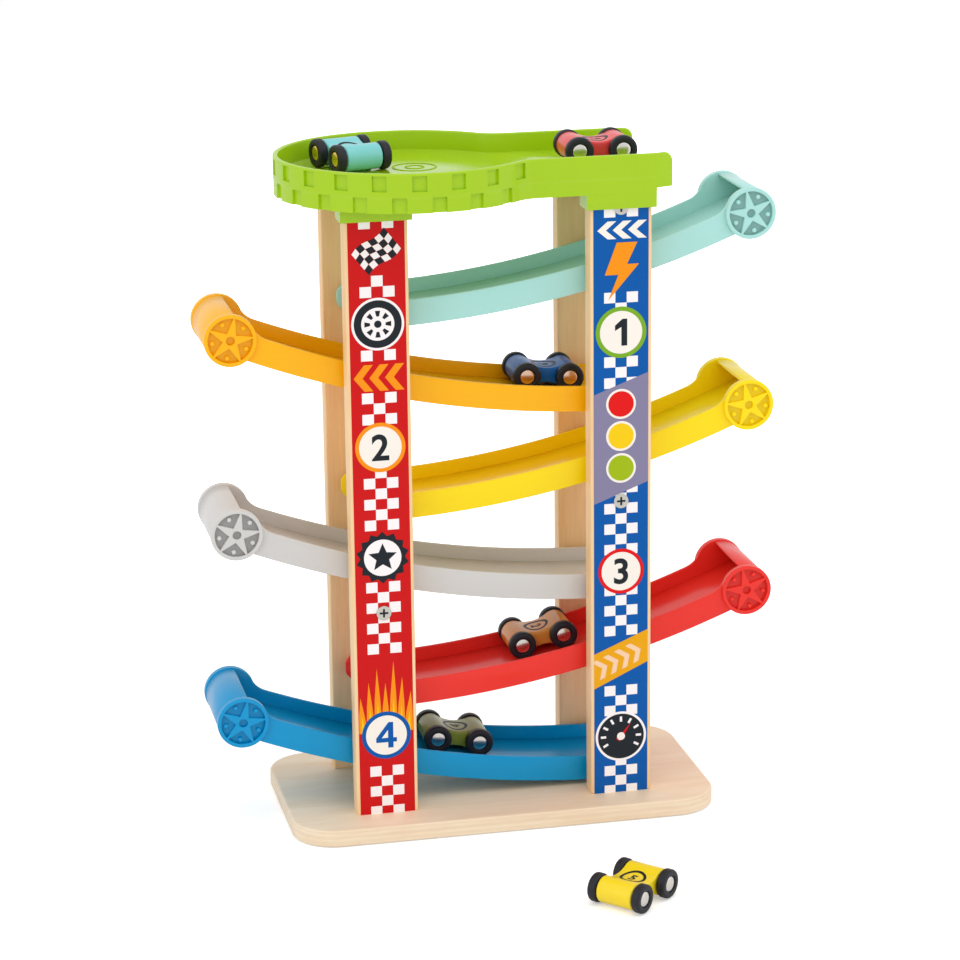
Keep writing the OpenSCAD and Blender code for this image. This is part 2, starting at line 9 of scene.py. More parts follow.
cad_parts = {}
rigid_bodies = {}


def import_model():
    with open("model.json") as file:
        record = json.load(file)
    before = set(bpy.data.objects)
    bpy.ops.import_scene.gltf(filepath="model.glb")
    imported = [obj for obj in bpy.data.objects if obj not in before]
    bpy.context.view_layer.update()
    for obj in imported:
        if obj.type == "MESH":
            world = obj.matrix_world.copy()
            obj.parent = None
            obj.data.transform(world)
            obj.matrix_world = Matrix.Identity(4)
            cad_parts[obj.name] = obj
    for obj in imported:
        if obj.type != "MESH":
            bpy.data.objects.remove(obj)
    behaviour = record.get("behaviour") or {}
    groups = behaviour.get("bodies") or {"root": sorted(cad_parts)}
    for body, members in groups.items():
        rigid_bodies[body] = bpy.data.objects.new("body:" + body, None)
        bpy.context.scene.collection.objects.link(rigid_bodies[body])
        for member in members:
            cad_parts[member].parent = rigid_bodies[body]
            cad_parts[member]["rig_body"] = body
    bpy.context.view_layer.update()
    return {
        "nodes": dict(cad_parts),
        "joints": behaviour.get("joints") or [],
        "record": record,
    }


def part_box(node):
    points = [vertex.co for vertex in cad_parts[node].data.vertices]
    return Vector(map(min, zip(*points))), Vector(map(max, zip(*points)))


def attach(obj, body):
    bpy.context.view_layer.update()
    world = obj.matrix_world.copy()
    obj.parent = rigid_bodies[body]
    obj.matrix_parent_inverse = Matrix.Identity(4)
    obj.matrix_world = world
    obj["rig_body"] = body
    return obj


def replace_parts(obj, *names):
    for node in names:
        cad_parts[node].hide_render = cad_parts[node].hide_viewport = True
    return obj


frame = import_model()
scene = bpy.context.scene
nodes = frame["nodes"]
joints = {joint["name"]: joint for joint in frame["joints"]}
slotOf = {part["node"]: part["material_slot"] for part in frame["record"]["subparts"]}
bodyOf = {name: node["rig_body"] for name, node in nodes.items()}
mm = 0.001
mergeDistance = 0.001 * mm
print("frame loaded:", len(nodes), "nodes")


# A colour as 0 to 255 per channel, turned into linear light
def tint(red, green, blue):
    def linear(channel):
        share = channel / 255
        return share / 12.92 if share <= 0.04045 else ((share + 0.055) / 1.055) ** 2.4
    return (linear(red), linear(green), linear(blue), 1.0)


# Sets a node's inputs: another node's output is linked, anything else is a value
def feed(tree, node, values):
    for key, value in values.items():
        if isinstance(value, bpy.types.NodeSocket):
            tree.links.new(value, node.inputs[key])
        else:
            node.inputs[key].default_value = value
    return node


def addNode(tree, kind, values=None, **settings):
    node = tree.nodes.new(kind)
    for key, value in settings.items():
        setattr(node, key, value)
    return feed(tree, node, values or {})


def calc(tree, operation, *values):
    return addNode(tree, "ShaderNodeMath", dict(enumerate(values)), operation=operation).outputs[0]


def addNoise(tree, vector, scale, detail=2.0, distortion=0.0):
    values = {"Vector": vector, "Scale": scale, "Detail": detail, "Distortion": distortion}
    return addNode(tree, "ShaderNodeTexNoise", values).outputs["Fac"]


# Without a span of its own, the one that noise mostly fills
def addRange(tree, value, low, high, span=(0.3, 0.7), **settings):
    values = {"Value": value, "From Min": span[0], "From Max": span[1], "To Min": low, "To Max": high}
    return addNode(tree, "ShaderNodeMapRange", values, **settings).outputs["Result"]


def addMix(tree, share, first, second):
    values = {"Factor": share, 6: first, 7: second}
    return addNode(tree, "ShaderNodeMix", values, data_type="RGBA").outputs[2]


def objectPlace(tree):
    return tree.nodes.new("ShaderNodeTexCoord").outputs["Object"]


def newGroup(name, inputs, outputs, kind="ShaderNodeTree"):
    tree = bpy.data.node_groups.new(name, kind)
    for label, socketKind, *value in inputs:
        socket = tree.interface.new_socket(label, in_out="INPUT", socket_type="NodeSocket" + socketKind)
        if value:
            socket.default_value = value[0]
    for label, socketKind in outputs:
        tree.interface.new_socket(label, in_out="OUTPUT", socket_type="NodeSocket" + socketKind)
    return tree, tree.nodes.new("NodeGroupInput").outputs, tree.nodes.new("NodeGroupOutput")


noiseLook = {"driftDetail": 3.0, "broadDetail": 1.0, "fibreDetail": 3.0, "bandDistortion": 0.6}


# Slow drift of brightness over a surface, and a roughness that wanders with it
def buildToneDrift():
    tree, start, end = newGroup(
        "toneDrift",
        [("Color", "Color", (0.5, 0.5, 0.5, 1)), ("Scale", "Float", 30.0), ("Amount", "Float", 0.05),
         ("Roughness", "Float", 0.3), ("Roughness Swing", "Float", 0.12)],
        [("Color", "Color"), ("Roughness", "Float")])
    noise = addNoise(tree, objectPlace(tree), start["Scale"], noiseLook["driftDetail"])
    centred = calc(tree, "SUBTRACT", noise, 0.5)
    brightness = calc(tree, "MULTIPLY_ADD", centred, start["Amount"], 1.0)
    shade = addNode(tree, "ShaderNodeHueSaturation", {"Color": start["Color"], "Value": brightness})
    rough = calc(tree, "MULTIPLY_ADD", centred, start["Roughness Swing"], start["Roughness"])
    feed(tree, end, {"Color": shade.outputs["Color"], "Roughness": rough})
    return tree


# Faint unevenness of moulded or painted surfaces: broad sink marks and a fine skin
def buildSkinRelief():
    tree, start, end = newGroup(
        "skinRelief",
        [("Broad Scale", "Float", 25.0), ("Fine Scale", "Float", 900.0), ("Fine Share", "Float", 0.2)],
        [("Height", "Float")])
    place = objectPlace(tree)
    broad = addNoise(tree, place, start["Broad Scale"], noiseLook["broadDetail"])
    fine = addNoise(tree, place, start["Fine Scale"])
    feed(tree, end, {"Height": calc(tree, "MULTIPLY_ADD", fine, start["Fine Share"], broad)})
    return tree


# Wood figure from coordinates that run slowly along the grain: bands and fibres
def buildWoodGrain():
    tree, start, end = newGroup(
        "woodGrain",
        [("Vector", "Vector", (0, 0, 0)), ("Light", "Color", (0.8, 0.6, 0.4, 1)),
         ("Dark", "Color", (0.6, 0.4, 0.2, 1)), ("Band Scale", "Float", 40.0), ("Band Share", "Float", 0.75),
         ("Fibre Scale", "Float", 500.0), ("Fibre Share", "Float", 0.35)],
        [("Color", "Color"), ("Height", "Float")])
    bands = addNoise(tree, start["Vector"], start["Band Scale"], distortion=noiseLook["bandDistortion"])
    fibres = addNoise(tree, start["Vector"], start["Fibre Scale"], noiseLook["fibreDetail"])
    total = calc(tree, "ADD", addRange(tree, bands, 0.0, start["Band Share"]),
                 addRange(tree, fibres, 0.0, start["Fibre Share"]))
    feed(tree, end, {"Color": addMix(tree, total, start["Light"], start["Dark"]), "Height": fibres})
    return tree


toneDrift = buildToneDrift()
skinRelief = buildSkinRelief()
woodGrain = buildWoodGrain()


def newMaterial(name):
    material = bpy.data.materials.new(name)
    material.use_nodes = True
    tree = material.node_tree
    return material, tree, tree.nodes["Principled BSDF"]


def placeGroup(tree, group, values):
    return addNode(tree, "ShaderNodeGroup", values, node_tree=group)


def bumpNormal(tree, height, distance):
    values = {"Height": height, "Strength": 1.0, "Distance": distance}
    return addNode(tree, "ShaderNodeBump", values).outputs["Normal"]


# What a plastic, paint, metal or ink has where its own look says nothing else
# The field share is the part of a plastic's colour kept in its darker copy, which paints shade into the
# ramps' sunk drum fields
commonLook = {"roughness": 0.24, "driftScale": 22.0, "drift": 0.08, "fineShare": 0.15, "relief": 0.2 * mm,
              "metallic": 0.0, "coat": 0.0, "coatRoughness": 0.12, "specular": 0.3, "fieldShadeShare": 0.86}


def coatedMaterial(name, look):
    look = {**commonLook, **look}
    material, tree, shader = newMaterial(name)
    drift = placeGroup(tree, toneDrift, {"Color": look["color"], "Scale": look["driftScale"],
                                         "Amount": look["drift"], "Roughness": look["roughness"]})
    relief = placeGroup(tree, skinRelief, {"Fine Share": look["fineShare"]})
    feed(tree, shader, {"Base Color": drift.outputs["Color"], "Roughness": drift.outputs["Roughness"],
                        "Normal": bumpNormal(tree, relief.outputs["Height"], look["relief"]),
                        "Metallic": look["metallic"], "Specular IOR Level": look["specular"],
                        "Coat Weight": look["coat"], "Coat Roughness": look["coatRoughness"]})
    return material


woodFinish = {"coat": 0.15, "coatRoughness": 0.3, "relief": 0.1 * mm}


# Wood with its grain along one axis; a stretch below 1 draws the figure out along it
def woodMaterial(name, look):
    material, tree, shader = newMaterial(name)
    place = objectPlace(tree)
    stretched = addNode(tree, "ShaderNodeMapping", {"Vector": place, "Scale": look["stretch"]})
    grain = placeGroup(tree, woodGrain, {
        "Vector": stretched.outputs["Vector"], "Light": look["light"], "Dark": look["dark"],
        "Band Scale": look["bandScale"], "Fibre Scale": look["fibreScale"]})
    color = grain.outputs["Color"]
    if "ply" in look:
        color = addPlies(tree, place, color, look)
    feed(tree, shader, {"Base Color": color, "Roughness": look["roughness"],
                        "Normal": bumpNormal(tree, grain.outputs["Height"], woodFinish["relief"]),
                        "Coat Weight": woodFinish["coat"], "Coat Roughness": woodFinish["coatRoughness"]})
    return material


# Darker cross plies on the upright faces of a plywood plate, counted up from its underside
def addPlies(tree, place, color, look):
    split = addNode(tree, "ShaderNodeSeparateXYZ", {0: place})
    pairs = calc(tree, "DIVIDE", split.outputs["Z"], 2 * look["ply"])
    cross = calc(tree, "GREATER_THAN", calc(tree, "FRACT", pairs), 0.5)
    facing = tree.nodes.new("ShaderNodeNewGeometry").outputs["Normal"]
    lift = calc(tree, "ABSOLUTE", addNode(tree, "ShaderNodeSeparateXYZ", {0: facing}).outputs["Z"])
    side = calc(tree, "LESS_THAN", lift, look["plyLift"])
    share = calc(tree, "MULTIPLY", calc(tree, "MULTIPLY", cross, side), look["plyShare"])
    return addMix(tree, share, color, look["plyColor"])


# A lower field share gives a deeper painted shade in the ramps' sunk drum fields
plasticLooks = {
    "tray_green": {"color": tint(166, 206, 14), "specular": 0.4},
    "mint_plastic": {"color": tint(174, 226, 220), "fieldShadeShare": 0.6},
    "orange_plastic": {"color": tint(255, 184, 6)},
    "yellow_plastic": {"color": tint(255, 224, 10)},
    "white_plastic": {"color": tint(211, 209, 207), "fieldShadeShare": 0.55},
    "red_plastic": {"color": tint(240, 52, 44)},
    "blue_plastic": {"color": tint(0, 150, 208)},
}
paint = {"roughness": 0.28, "coat": 0.25}
metal = {"roughness": 0.25, "metallic": 1.0, "relief": 0.05 * mm}
otherLooks = {
    "teal_paint": {**paint, "color": tint(128, 208, 212)},
    "coral_paint": {**paint, "color": tint(232, 66, 70)},
    "navy_paint": {**paint, "color": tint(14, 96, 172), "coat": 0.08, "specular": 0.2},
    "ochre_paint": {**paint, "color": tint(220, 148, 62)},
    "olive_paint": {**paint, "color": tint(132, 148, 52)},
    "lemon_paint": {**paint, "color": tint(248, 218, 34)},
    "hub_steel": {**metal, "color": tint(222, 218, 212)},
    "hub_brass": {**metal, "color": tint(240, 200, 104)},
    "hub_copper": {**metal, "color": tint(232, 196, 170)},
    "screw_steel": {**metal, "color": tint(205, 203, 195), "roughness": 0.32},
    # partly painted sheen: a slightly lighter copy of the tray green for the tray's floors; its low
    # roughness and clear coat are a real gloss
    "tray_green_glossy_lit": {"color": tint(172, 210, 20), "roughness": 0.16, "specular": 0.7, "coat": 1.0},
    "wheel_black": {"color": tint(34, 35, 42), "roughness": 0.42, "drift": 0.3, "relief": 0.1 * mm},
}
inkLook = {"roughness": 0.36, "drift": 0.06, "relief": 0.08 * mm, "fineShare": 0.5, "specular": 0.15}
# The black ink also serves as painted shade in the screws' cross recesses
inks = {
    "inkRed": tint(208, 18, 20), "inkBlue": tint(0, 89, 170), "inkWhite": tint(252, 246, 246),
    "blackInkAndShade": tint(32, 38, 44), "inkOrange": tint(252, 150, 20), "inkAmber": tint(238, 168, 16),
    "inkPeach": tint(248, 210, 174), "inkGreen": tint(124, 174, 40), "inkLime": tint(162, 188, 20),
    "inkYellow": tint(248, 206, 18), "inkMauve": tint(136, 130, 162), "inkCream": tint(250, 242, 232),
    "inkSignal": tint(230, 20, 20),
}
woodLooks = {
    "base_wood": {"light": tint(252, 236, 210), "dark": tint(240, 214, 180), "stretch": (0.12, 1.0, 1.0),
                  "bandScale": 60.0, "fibreScale": 700.0, "roughness": 0.5, "ply": 1.65 * mm,
                  "plyShare": 0.28, "plyColor": tint(224, 194, 158), "plyLift": 0.6},
    "post_wood": {"light": tint(255, 221, 172), "dark": tint(240, 198, 143), "stretch": (1.0, 1.0, 0.07),
                  "bandScale": 75.0, "fibreScale": 800.0, "roughness": 0.5},
    "bar_wood": {"light": tint(238, 208, 168), "dark": tint(214, 174, 128), "stretch": (1.0, 0.1, 1.0),
                 "bandScale": 120.0, "fibreScale": 900.0, "roughness": 0.55},
}
materials = {label: coatedMaterial(label, look) for label, look in {**plasticLooks, **otherLooks}.items()}
for label, look in plasticLooks.items():  # painted shade: the sunk fields of the ramps' drum faces get a darker copy of each plastic, for the shade in those recesses
    share = look.get("fieldShadeShare", commonLook["fieldShadeShare"])
    shadedColor = [channel * share for channel in look["color"][:3]] + [1.0]
    materials[label + "_field"] = coatedMaterial(label + "_field", {**look, "color": shadedColor})
for label, look in woodLooks.items():
    materials[label] = woodMaterial(label, look)
for label, color in inks.items():
    materials[label] = coatedMaterial(label, {**inkLook, "color": color})
print("materials built:", len(materials))


# All faces of the closed shell that one face belongs to, taken out of those left
def shellOf(face, left):
    shell, waiting = [], [face]
    while waiting:
        here = waiting.pop()
        shell.append(here)
        for side in here.edges:
            fresh = [other for other in side.link_faces if other in left]
            left.difference_update(fresh)
            waiting += fresh
    return shell


# Turns the faces of each closed shell outward, by the sign of its volume
def faceOutward(bm):
    bmesh.ops.recalc_face_normals(bm, faces=bm.faces)
    left = set(bm.faces)
    while left:
        shell = shellOf(left.pop(), left)
        if any(len(edge.link_faces) != 2 for face in shell for edge in face.edges):
            continue
        base = shell[0].verts[0].co
        volume = 0
        for face in shell:
            corners = [vert.co - base for vert in face.verts]
            volume += sum(corners[0].dot(a.cross(b)) for a, b in zip(corners[1:], corners[2:]))
        if volume < 0:
            bmesh.ops.reverse_faces(bm, faces=shell)


def pieceFromBmesh(name, bm, labels):
    faceOutward(bm)
    mesh = bpy.data.meshes.new(name)
    bm.to_mesh(mesh)
    bm.free()
    for label in labels:
        mesh.materials.append(materials[label])
    piece = bpy.data.objects.new(name, mesh)
    scene.collection.objects.link(piece)
    return piece


# The piece moves with a node's body
def settle(piece, node):
    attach(piece, bodyOf[node])
    return piece


def mergeDoubles(bm):
    bmesh.ops.remove_doubles(bm, verts=bm.verts, dist=mergeDistance)


# A piece that takes a node's place, with creases where faces meet at more than the sharp angle
def standIn(node, name, bm, sharpAngle=40, more=()):
    mergeDoubles(bm)
    for face in bm.faces:
        face.smooth = True
    for edge in bm.edges:
        if len(edge.link_faces) == 2:
            edge.smooth = edge.calc_face_angle(0.0) < math.radians(sharpAngle)
    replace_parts(settle(pieceFromBmesh(name, bm, [slotOf[node], *more]), node), node)


# Gives every face from a number on one material
def paintFaces(bm, first, index):
    bm.faces.ensure_lookup_table()
    for face in bm.faces[first:]:
        face.material_index = index


def polar(radius, degrees, centre=(0, 0)):
    angle = math.radians(degrees)
    return (centre[0] + radius * math.cos(angle), centre[1] + radius * math.sin(angle))


def arcPoints(centre, radius, start, end, steps=8):
    return [polar(radius, start + (end - start) * i / steps, centre) for i in range(steps + 1)]


def discOutline(radius, centre=(0, 0), count=64):
    return arcPoints(centre, radius, 0, 360, count)[:-1]


def starOutline(outer, inner, points, centre=(0, 0), lean=0):
    radii = (outer, inner) * points
    return [polar(radius, 90 + lean + 180 * i / points, centre) for i, radius in enumerate(radii)]


def rectangleOutline(left, right, low, high):
    return [(left, low), (right, low), (right, high), (left, high)]


# Moves a closed outline toward its left side, which is the solid side; sharp corners move less
def insetOutline(outline, depth):
    leastShare = 0.15
    result = []
    for i, point in enumerate(outline):
        here = Vector(point)
        before = (here - Vector(outline[i - 1])).normalized()
        after = (Vector(outline[(i + 1) % len(outline)]) - here).normalized()
        normals = Vector((-before.y, before.x)), Vector((-after.y, after.x))
        share = max(1 + normals[0].dot(normals[1]), leastShare)
        result.append(here + (normals[0] + normals[1]) * depth / share)
    return result


# The plain mesh of a new object with its modifiers run; the object itself goes
def evaluatedMesh(holder):
    scene.collection.objects.link(holder)
    bpy.context.view_layer.update()
    mesh = bpy.data.meshes.new_from_object(holder.evaluated_get(bpy.context.evaluated_depsgraph_get()))
    holder.modifiers.clear()
    bpy.data.objects.remove(holder)
    return mesh


def meshFromCurve(curve):
    mesh = evaluatedMesh(bpy.data.objects.new("curveHolder", curve))
    bpy.data.curves.remove(curve)
    mesh.materials.clear()
    return mesh


def pour(bm, mesh, matrix=Matrix.Identity(4)):
    mesh.transform(matrix)
    bm.from_mesh(mesh)
    bpy.data.meshes.remove(mesh)


# A plate with rounded edges, centred on its own plane. Outlines run counter-clockwise, holes clockwise
def addPlate(bm, outlines, thickness, rounding, matrix, steps=2):
    curve = bpy.data.curves.new("plate", "CURVE")
    curve.dimensions = "2D"
    curve.fill_mode = "BOTH"
    curve.extrude = thickness / 2 - rounding
    curve.bevel_depth = rounding
    curve.bevel_resolution = steps
    for outline in outlines:
        spline = curve.splines.new("POLY")
        spline.points.add(len(outline) - 1)
        for point, place in zip(spline.points, insetOutline(outline, rounding)):
            point.co = (place[0], place[1], 0, 1)
        spline.use_cyclic_u = True
    pour(bm, meshFromCurve(curve), matrix)


# Turns a closed profile of radii and places along Y about the Y axis
def turnedRing(bm, profile, matrix, segments=56):
    rings = []
    for step in range(segments):
        turn = 2 * math.pi * step / segments
        points = [Vector((r * math.cos(turn), along, r * math.sin(turn))) for r, along in profile]
        rings.append([bm.verts.new(matrix @ point) for point in points])
    for here, after in zip(rings, rings[1:] + rings[:1]):
        for i in range(len(profile)):
            j = (i + 1) % len(profile)
            if profile[i][0] or profile[j][0]:
                bm.faces.new((here[i], here[j], after[j], after[i]))


# Ramps, each laid out with its drum's middle at the origin and its channel toward -X; angles in degrees
ramp = {"rim": 573 * mm, "wallHeight": 15 * mm, "wall": 2 * mm, "halfInside": 26 * mm, "reach": 228.7 * mm,
        "rimRise": 7 * mm, "floorDepth": 8 * mm, "floorThickness": 2 * mm, "lowEnd": 3.1 * mm,
        "lowRounding": 6 * mm, "drum": 14.9 * mm, "field": 12.7 * mm, "fieldDepth": 2.0 * mm,
        "face": 2.5 * mm, "shell": 2 * mm, "shellTop": 100, "shellFoot": -110, "blend": 7 * mm,
        "edge": 0.45 * mm, "easedEdge": 0.3 * mm, "hiddenEdge": 0.1 * mm, "starValley": 4.4 * mm,
        "starLean": 12, "starPoints": 5, "hub": 2.5 * mm, "hubCount": 24, "bump": 1.3 * mm,
        "bumpPlaceShare": 0.8, "bumpShares": ((1, 0.5), (0.8, 0.15), (0.45, 0)), "bumpSegments": 16,
        "boss": 4 * mm, "bossReach": 6.6 * mm, "bossSegments": 32, "posts": (80.8 * mm, 220.8 * mm),
        "arcSteps": 48, "floorSteps": 56, "drumSteps": 56, "shellSteps": 60, "shellEndSteps": 6,
        "levelMargin": 0.02 * mm}
ramp["middle"] = ramp["halfInside"] + ramp["wall"] / 2
ramp["faceOut"] = ramp["halfInside"] + ramp["wall"] + ramp["face"]
ramp["fieldOut"] = ramp["faceOut"] - ramp["fieldDepth"]
ramp["lowAngle"] = math.asin((ramp["lowRounding"] - ramp["lowEnd"]) / ramp["rim"])
upright = Matrix.Rotation(math.pi / 2, 4, "X")


def rampPoint(radius, angle):
    rise = math.sqrt((ramp["rim"] + ramp["rimRise"]) ** 2 - ramp["reach"] ** 2)
    return (-ramp["reach"] + radius * math.sin(angle), rise - radius * math.cos(angle))


def rampArc(radius, first, last, steps):
    return [rampPoint(radius, first + (last - first) * i / steps) for i in range(steps + 1)]


# Angle along a ramp's arc at which that arc meets the drum's circle on the channel's side
def drumMeeting(radius, circle):
    middle = ramp["rim"] + ramp["rimRise"]
    share = (middle ** 2 + radius ** 2 - circle ** 2) / (2 * middle * radius)
    return math.asin(ramp["reach"] / middle) - math.acos(share)


def blendPoints(start, corner, end, steps=8):
    start, corner, end = Vector(start), Vector(corner), Vector(end)
    shares = [i / steps for i in range(steps + 1)]
    return [start * (1 - t) ** 2 + corner * 2 * t * (1 - t) + end * t * t for t in shares]


# Side view of a ramp's wall with its drum: foot, round the drum, blend, rim and round low end
def wallOutline():
    rim, foot, drum = ramp["rim"], ramp["rim"] + ramp["wallHeight"], ramp["drum"]
    corner, low, steps = ramp["lowRounding"], ramp["lowAngle"], ramp["arcSteps"]
    rimEnd, footEnd = drumMeeting(rim, drum), drumMeeting(foot, drum)
    footPoint, rimPoint = rampPoint(foot, footEnd), rampPoint(rim, rimEnd)
    start = math.degrees(math.atan2(footPoint[1], footPoint[0]))
    end = math.degrees(math.atan2(rimPoint[1], rimPoint[0]) - ramp["blend"] / drum)
    first = rimEnd - ramp["blend"] / rim
    points = rampArc(foot, low, footEnd, steps)[:-1]
    points += arcPoints((0, 0), drum, start, end, ramp["drumSteps"])
    points += blendPoints(points[-1], rimPoint, rampPoint(rim, first))[1:]
    points += rampArc(rim, first, low, steps)[1:-1]
    points += arcPoints(rampPoint(rim + corner, low), corner, 90, 180)
    points += arcPoints(rampPoint(foot - corner, low), corner, 180, 270)
    return points[:-1]


def floorOutline():
    top, low, steps = ramp["rim"] + ramp["floorDepth"], ramp["lowAngle"], ramp["floorSteps"]
    high = math.asin(ramp["reach"] / (ramp["rim"] + ramp["rimRise"]))
    high += math.asin((ramp["drum"] - ramp["shell"]) / top)
    return rampArc(top + ramp["floorThickness"], low, high, steps) + rampArc(top, high, low, steps)


# Section of the drum's curved back wall, with round ends
def shellOutline():
    outer, half = ramp["drum"] - ramp["edge"], ramp["shell"] / 2
    top, foot, steps = ramp["shellTop"], ramp["shellFoot"], ramp["shellSteps"]

    def roundEnd(place, turn):
        return arcPoints(polar(outer - half, place), half, turn, turn + 180, ramp["shellEndSteps"])[1:-1]

    points = arcPoints((0, 0), outer, foot, top, steps) + roundEnd(top, top)
    return points + arcPoints((0, 0), outer - 2 * half, top, foot, steps) + roundEnd(foot, foot + 180)


# One end of the drum: sunk field, rim, star with a hole and a small bump between two points
def addStarFace(bm, matrix):
    middle, faceOut = ramp["middle"], ramp["faceOut"]

    def addLevel(outlines, high, rounding, steps=2):
        place = matrix @ upright @ Matrix.Translation((0, 0, (middle + high) / 2))
        addPlate(bm, outlines, high - middle, rounding, place, steps)

    addLevel([discOutline(ramp["field"] + ramp["edge"])], ramp["fieldOut"], ramp["hiddenEdge"], 1)
    addLevel([discOutline(ramp["drum"]), discOutline(ramp["field"])[::-1]], faceOut, ramp["edge"])
    points, lean = ramp["starPoints"], ramp["starLean"]
    star = starOutline(ramp["drum"] - ramp["edge"], ramp["starValley"], points, lean=lean)
    addLevel([star, discOutline(ramp["hub"], count=ramp["hubCount"])[::-1]], faceOut, ramp["easedEdge"])
    radius, foot, top = ramp["bump"], -middle, -faceOut
    dome = [(radius * out, top + radius * down) for out, down in ramp["bumpShares"]]
    for i in range(points):
        x, z = polar(ramp["field"] * ramp["bumpPlaceShare"], 90 + lean + (i + 0.5) * 360 / points)
        place = matrix @ Matrix.Translation((x, 0, z))
        turnedRing(bm, [(0, foot), (radius, foot), *dome, (0, top)], place, ramp["bumpSegments"])


def buildRamp(node):
    low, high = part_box(node)
    side = 1 if high.x > -low.x else -1
    place = Matrix.Translation((side * (max(high.x, -low.x) - ramp["drum"]), 0, high.z - ramp["drum"]))
    place = place @ Matrix.Rotation(0 if side > 0 else math.pi, 4, "Z")
    middle, midWall = ramp["middle"], ramp["rim"] + ramp["wallHeight"] / 2
    boss = rectangleOutline(0, ramp["boss"], 0, ramp["bossReach"])
    bm = bmesh.new()
    for half in (-1, 1):
        mirrored = place @ Matrix.Diagonal((1, half, 1, 1))
        wallPlace = mirrored @ upright @ Matrix.Translation((0, 0, middle))
        addPlate(bm, [wallOutline()], ramp["wall"], ramp["edge"], wallPlace)
        addStarFace(bm, mirrored)
        for run in ramp["posts"]:
            x, z = rampPoint(midWall, math.asin((ramp["reach"] - run) / midWall))
            turnedRing(bm, boss, mirrored @ Matrix.Translation((x, middle, z)), ramp["bossSegments"])
    addPlate(bm, [floorOutline()], 2 * middle, ramp["easedEdge"], place @ upright, 1)
    addPlate(bm, [shellOutline()], 2 * middle, ramp["hiddenEdge"], place @ upright, 1)
    # painted shade: faces on the sunk field's level take the darker copy of the plastic
    for face in bm.faces:
        if all(abs(abs(vert.co.y) - ramp["fieldOut"]) < ramp["levelMargin"] for vert in face.verts):
            face.material_index = 1
    standIn(node, node + "_skin", bm, more=[slotOf[node] + "_field"])


# Posts as planks with eased edges
plank = {"corner": 0.9 * mm, "cornerSteps": 4, "edge": 0.6 * mm}


def buildPost(node):
    low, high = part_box(node)
    half = (high - low) / 2
    corner = plank["corner"]
    outline = []
    for x, y, start in ((1, -1, 270), (1, 1, 0), (-1, 1, 90), (-1, -1, 180)):
        centre = (x * (half.x - corner), y * (half.y - corner))
        outline += arcPoints(centre, corner, start, start + 90, plank["cornerSteps"])
    bm = bmesh.new()
    addPlate(bm, [outline], 2 * half.z, plank["edge"], Matrix.Translation((low + high) / 2))
    standIn(node, node + "_plank", bm)


# Tray: a wall swept along its plan with a brick pattern, floors, raised rings, sockets and an end wall
tray = {"dishX": -44 * mm, "radius": 75 * mm, "flat": 64 * mm, "slopeTop": 71.5 * mm, "wall": 3 * mm,
        "height": 22 * mm, "floorDrop": 14 * mm, "laneRise": 3 * mm, "floor": 2.5 * mm, "neck": 20 * mm,
        "laneHalf": 47.3 * mm, "laneEnd": 90.3 * mm, "laneInset": 0.5 * mm, "wing": 10 * mm, "bend": 4 * mm,
        "wingHeight": 19.5 * mm, "corner": 5 * mm, "edge": 0.9 * mm, "brickDegrees": 17,
        "brickHalf": 4 * mm, "brickHeight": 8.5 * mm, "brickDepth": 1.5 * mm, "brickMargin": 1.5 * mm,
        "brickCount": 8, "neckBrickShare": 0.15, "crease": 0.12 * mm, "creaseMargin": 0.48 * mm,
        "hidden": 0.04 * mm, "socketFoot": 359.5 * mm, "postTop": 373.5 * mm, "socketHalf": 20.3 * mm,
        "socketInner": 30.7 * mm, "socketWall": 2 * mm, "barSlot": 4.3 * mm, "postX": 70 * mm,
        "ringPlace": (-34 * mm, 25 * mm), "ringRadii": (12.4 * mm, 5.2 * mm), "ringWidth": 1.1 * mm,
        "ringRise": 0.4 * mm, "socketEdge": 0.35 * mm, "slabEdge": 0.2 * mm, "endEdge": 0.3 * mm,
        "plainSteps": 110, "tipSteps": 10, "edgeSteps": 4, "dishSteps": 24, "bowlSegments": 128,
        "ringSegments": 64, "sharpAngle": 30}
tray["neckY"] = tray["laneHalf"] + tray["neck"]
tray["neckReach"] = tray["radius"] + tray["neck"]
tray["neckX"] = tray["dishX"] + math.sqrt(tray["neckReach"] ** 2 - tray["neckY"] ** 2)
tray["neckAngle"] = math.asin(tray["neckY"] / tray["neckReach"])
tray["dishLength"] = tray["radius"] * (math.pi - tray["neckAngle"])
tray["neckLength"] = tray["neck"] * (math.pi / 2 - tray["neckAngle"])
tray["laneStart"] = tray["dishLength"] + tray["neckLength"]
tray["wingStart"] = tray["laneStart"] + tray["laneEnd"] - tray["neckX"]
tray["wingLength"] = math.hypot(tray["wing"], tray["bend"])


# Place and outward direction at a length along the front half of the tray's plan, from the left tip
def trayPlace(length):
    if length <= tray["dishLength"]:
        angle = math.pi + length / tray["radius"]
        out = Vector((math.cos(angle), math.sin(angle)))
        return Vector((tray["dishX"], 0)) + out * tray["radius"], out
    if length <= tray["laneStart"]:
        angle = math.pi - tray["neckAngle"] - (length - tray["dishLength"]) / tray["neck"]
        out = -Vector((math.cos(angle), math.sin(angle)))
        return Vector((tray["neckX"], -tray["neckY"])) - out * tray["neck"], out
    if length <= tray["wingStart"]:
        return Vector((tray["neckX"] + length - tray["laneStart"], -tray["laneHalf"])), Vector((0, -1))
    along = Vector((tray["wing"], tray["bend"])) / tray["wingLength"]
    start = Vector((tray["laneEnd"], -tray["laneHalf"]))
    return start + along * (length - tray["wingStart"]), Vector((along.y, -along.x))


# Lengths along the plan at which the upper and the lower row of bricks have their middles
def brickMiddles():
    step = tray["radius"] * math.radians(tray["brickDegrees"])
    upper = [i * step for i in range(tray["brickCount"])]
    upper.append(tray["dishLength"] + tray["neckBrickShare"] * tray["neckLength"])
    return upper, [(i + 0.5) * step for i in range(tray["brickCount"])]


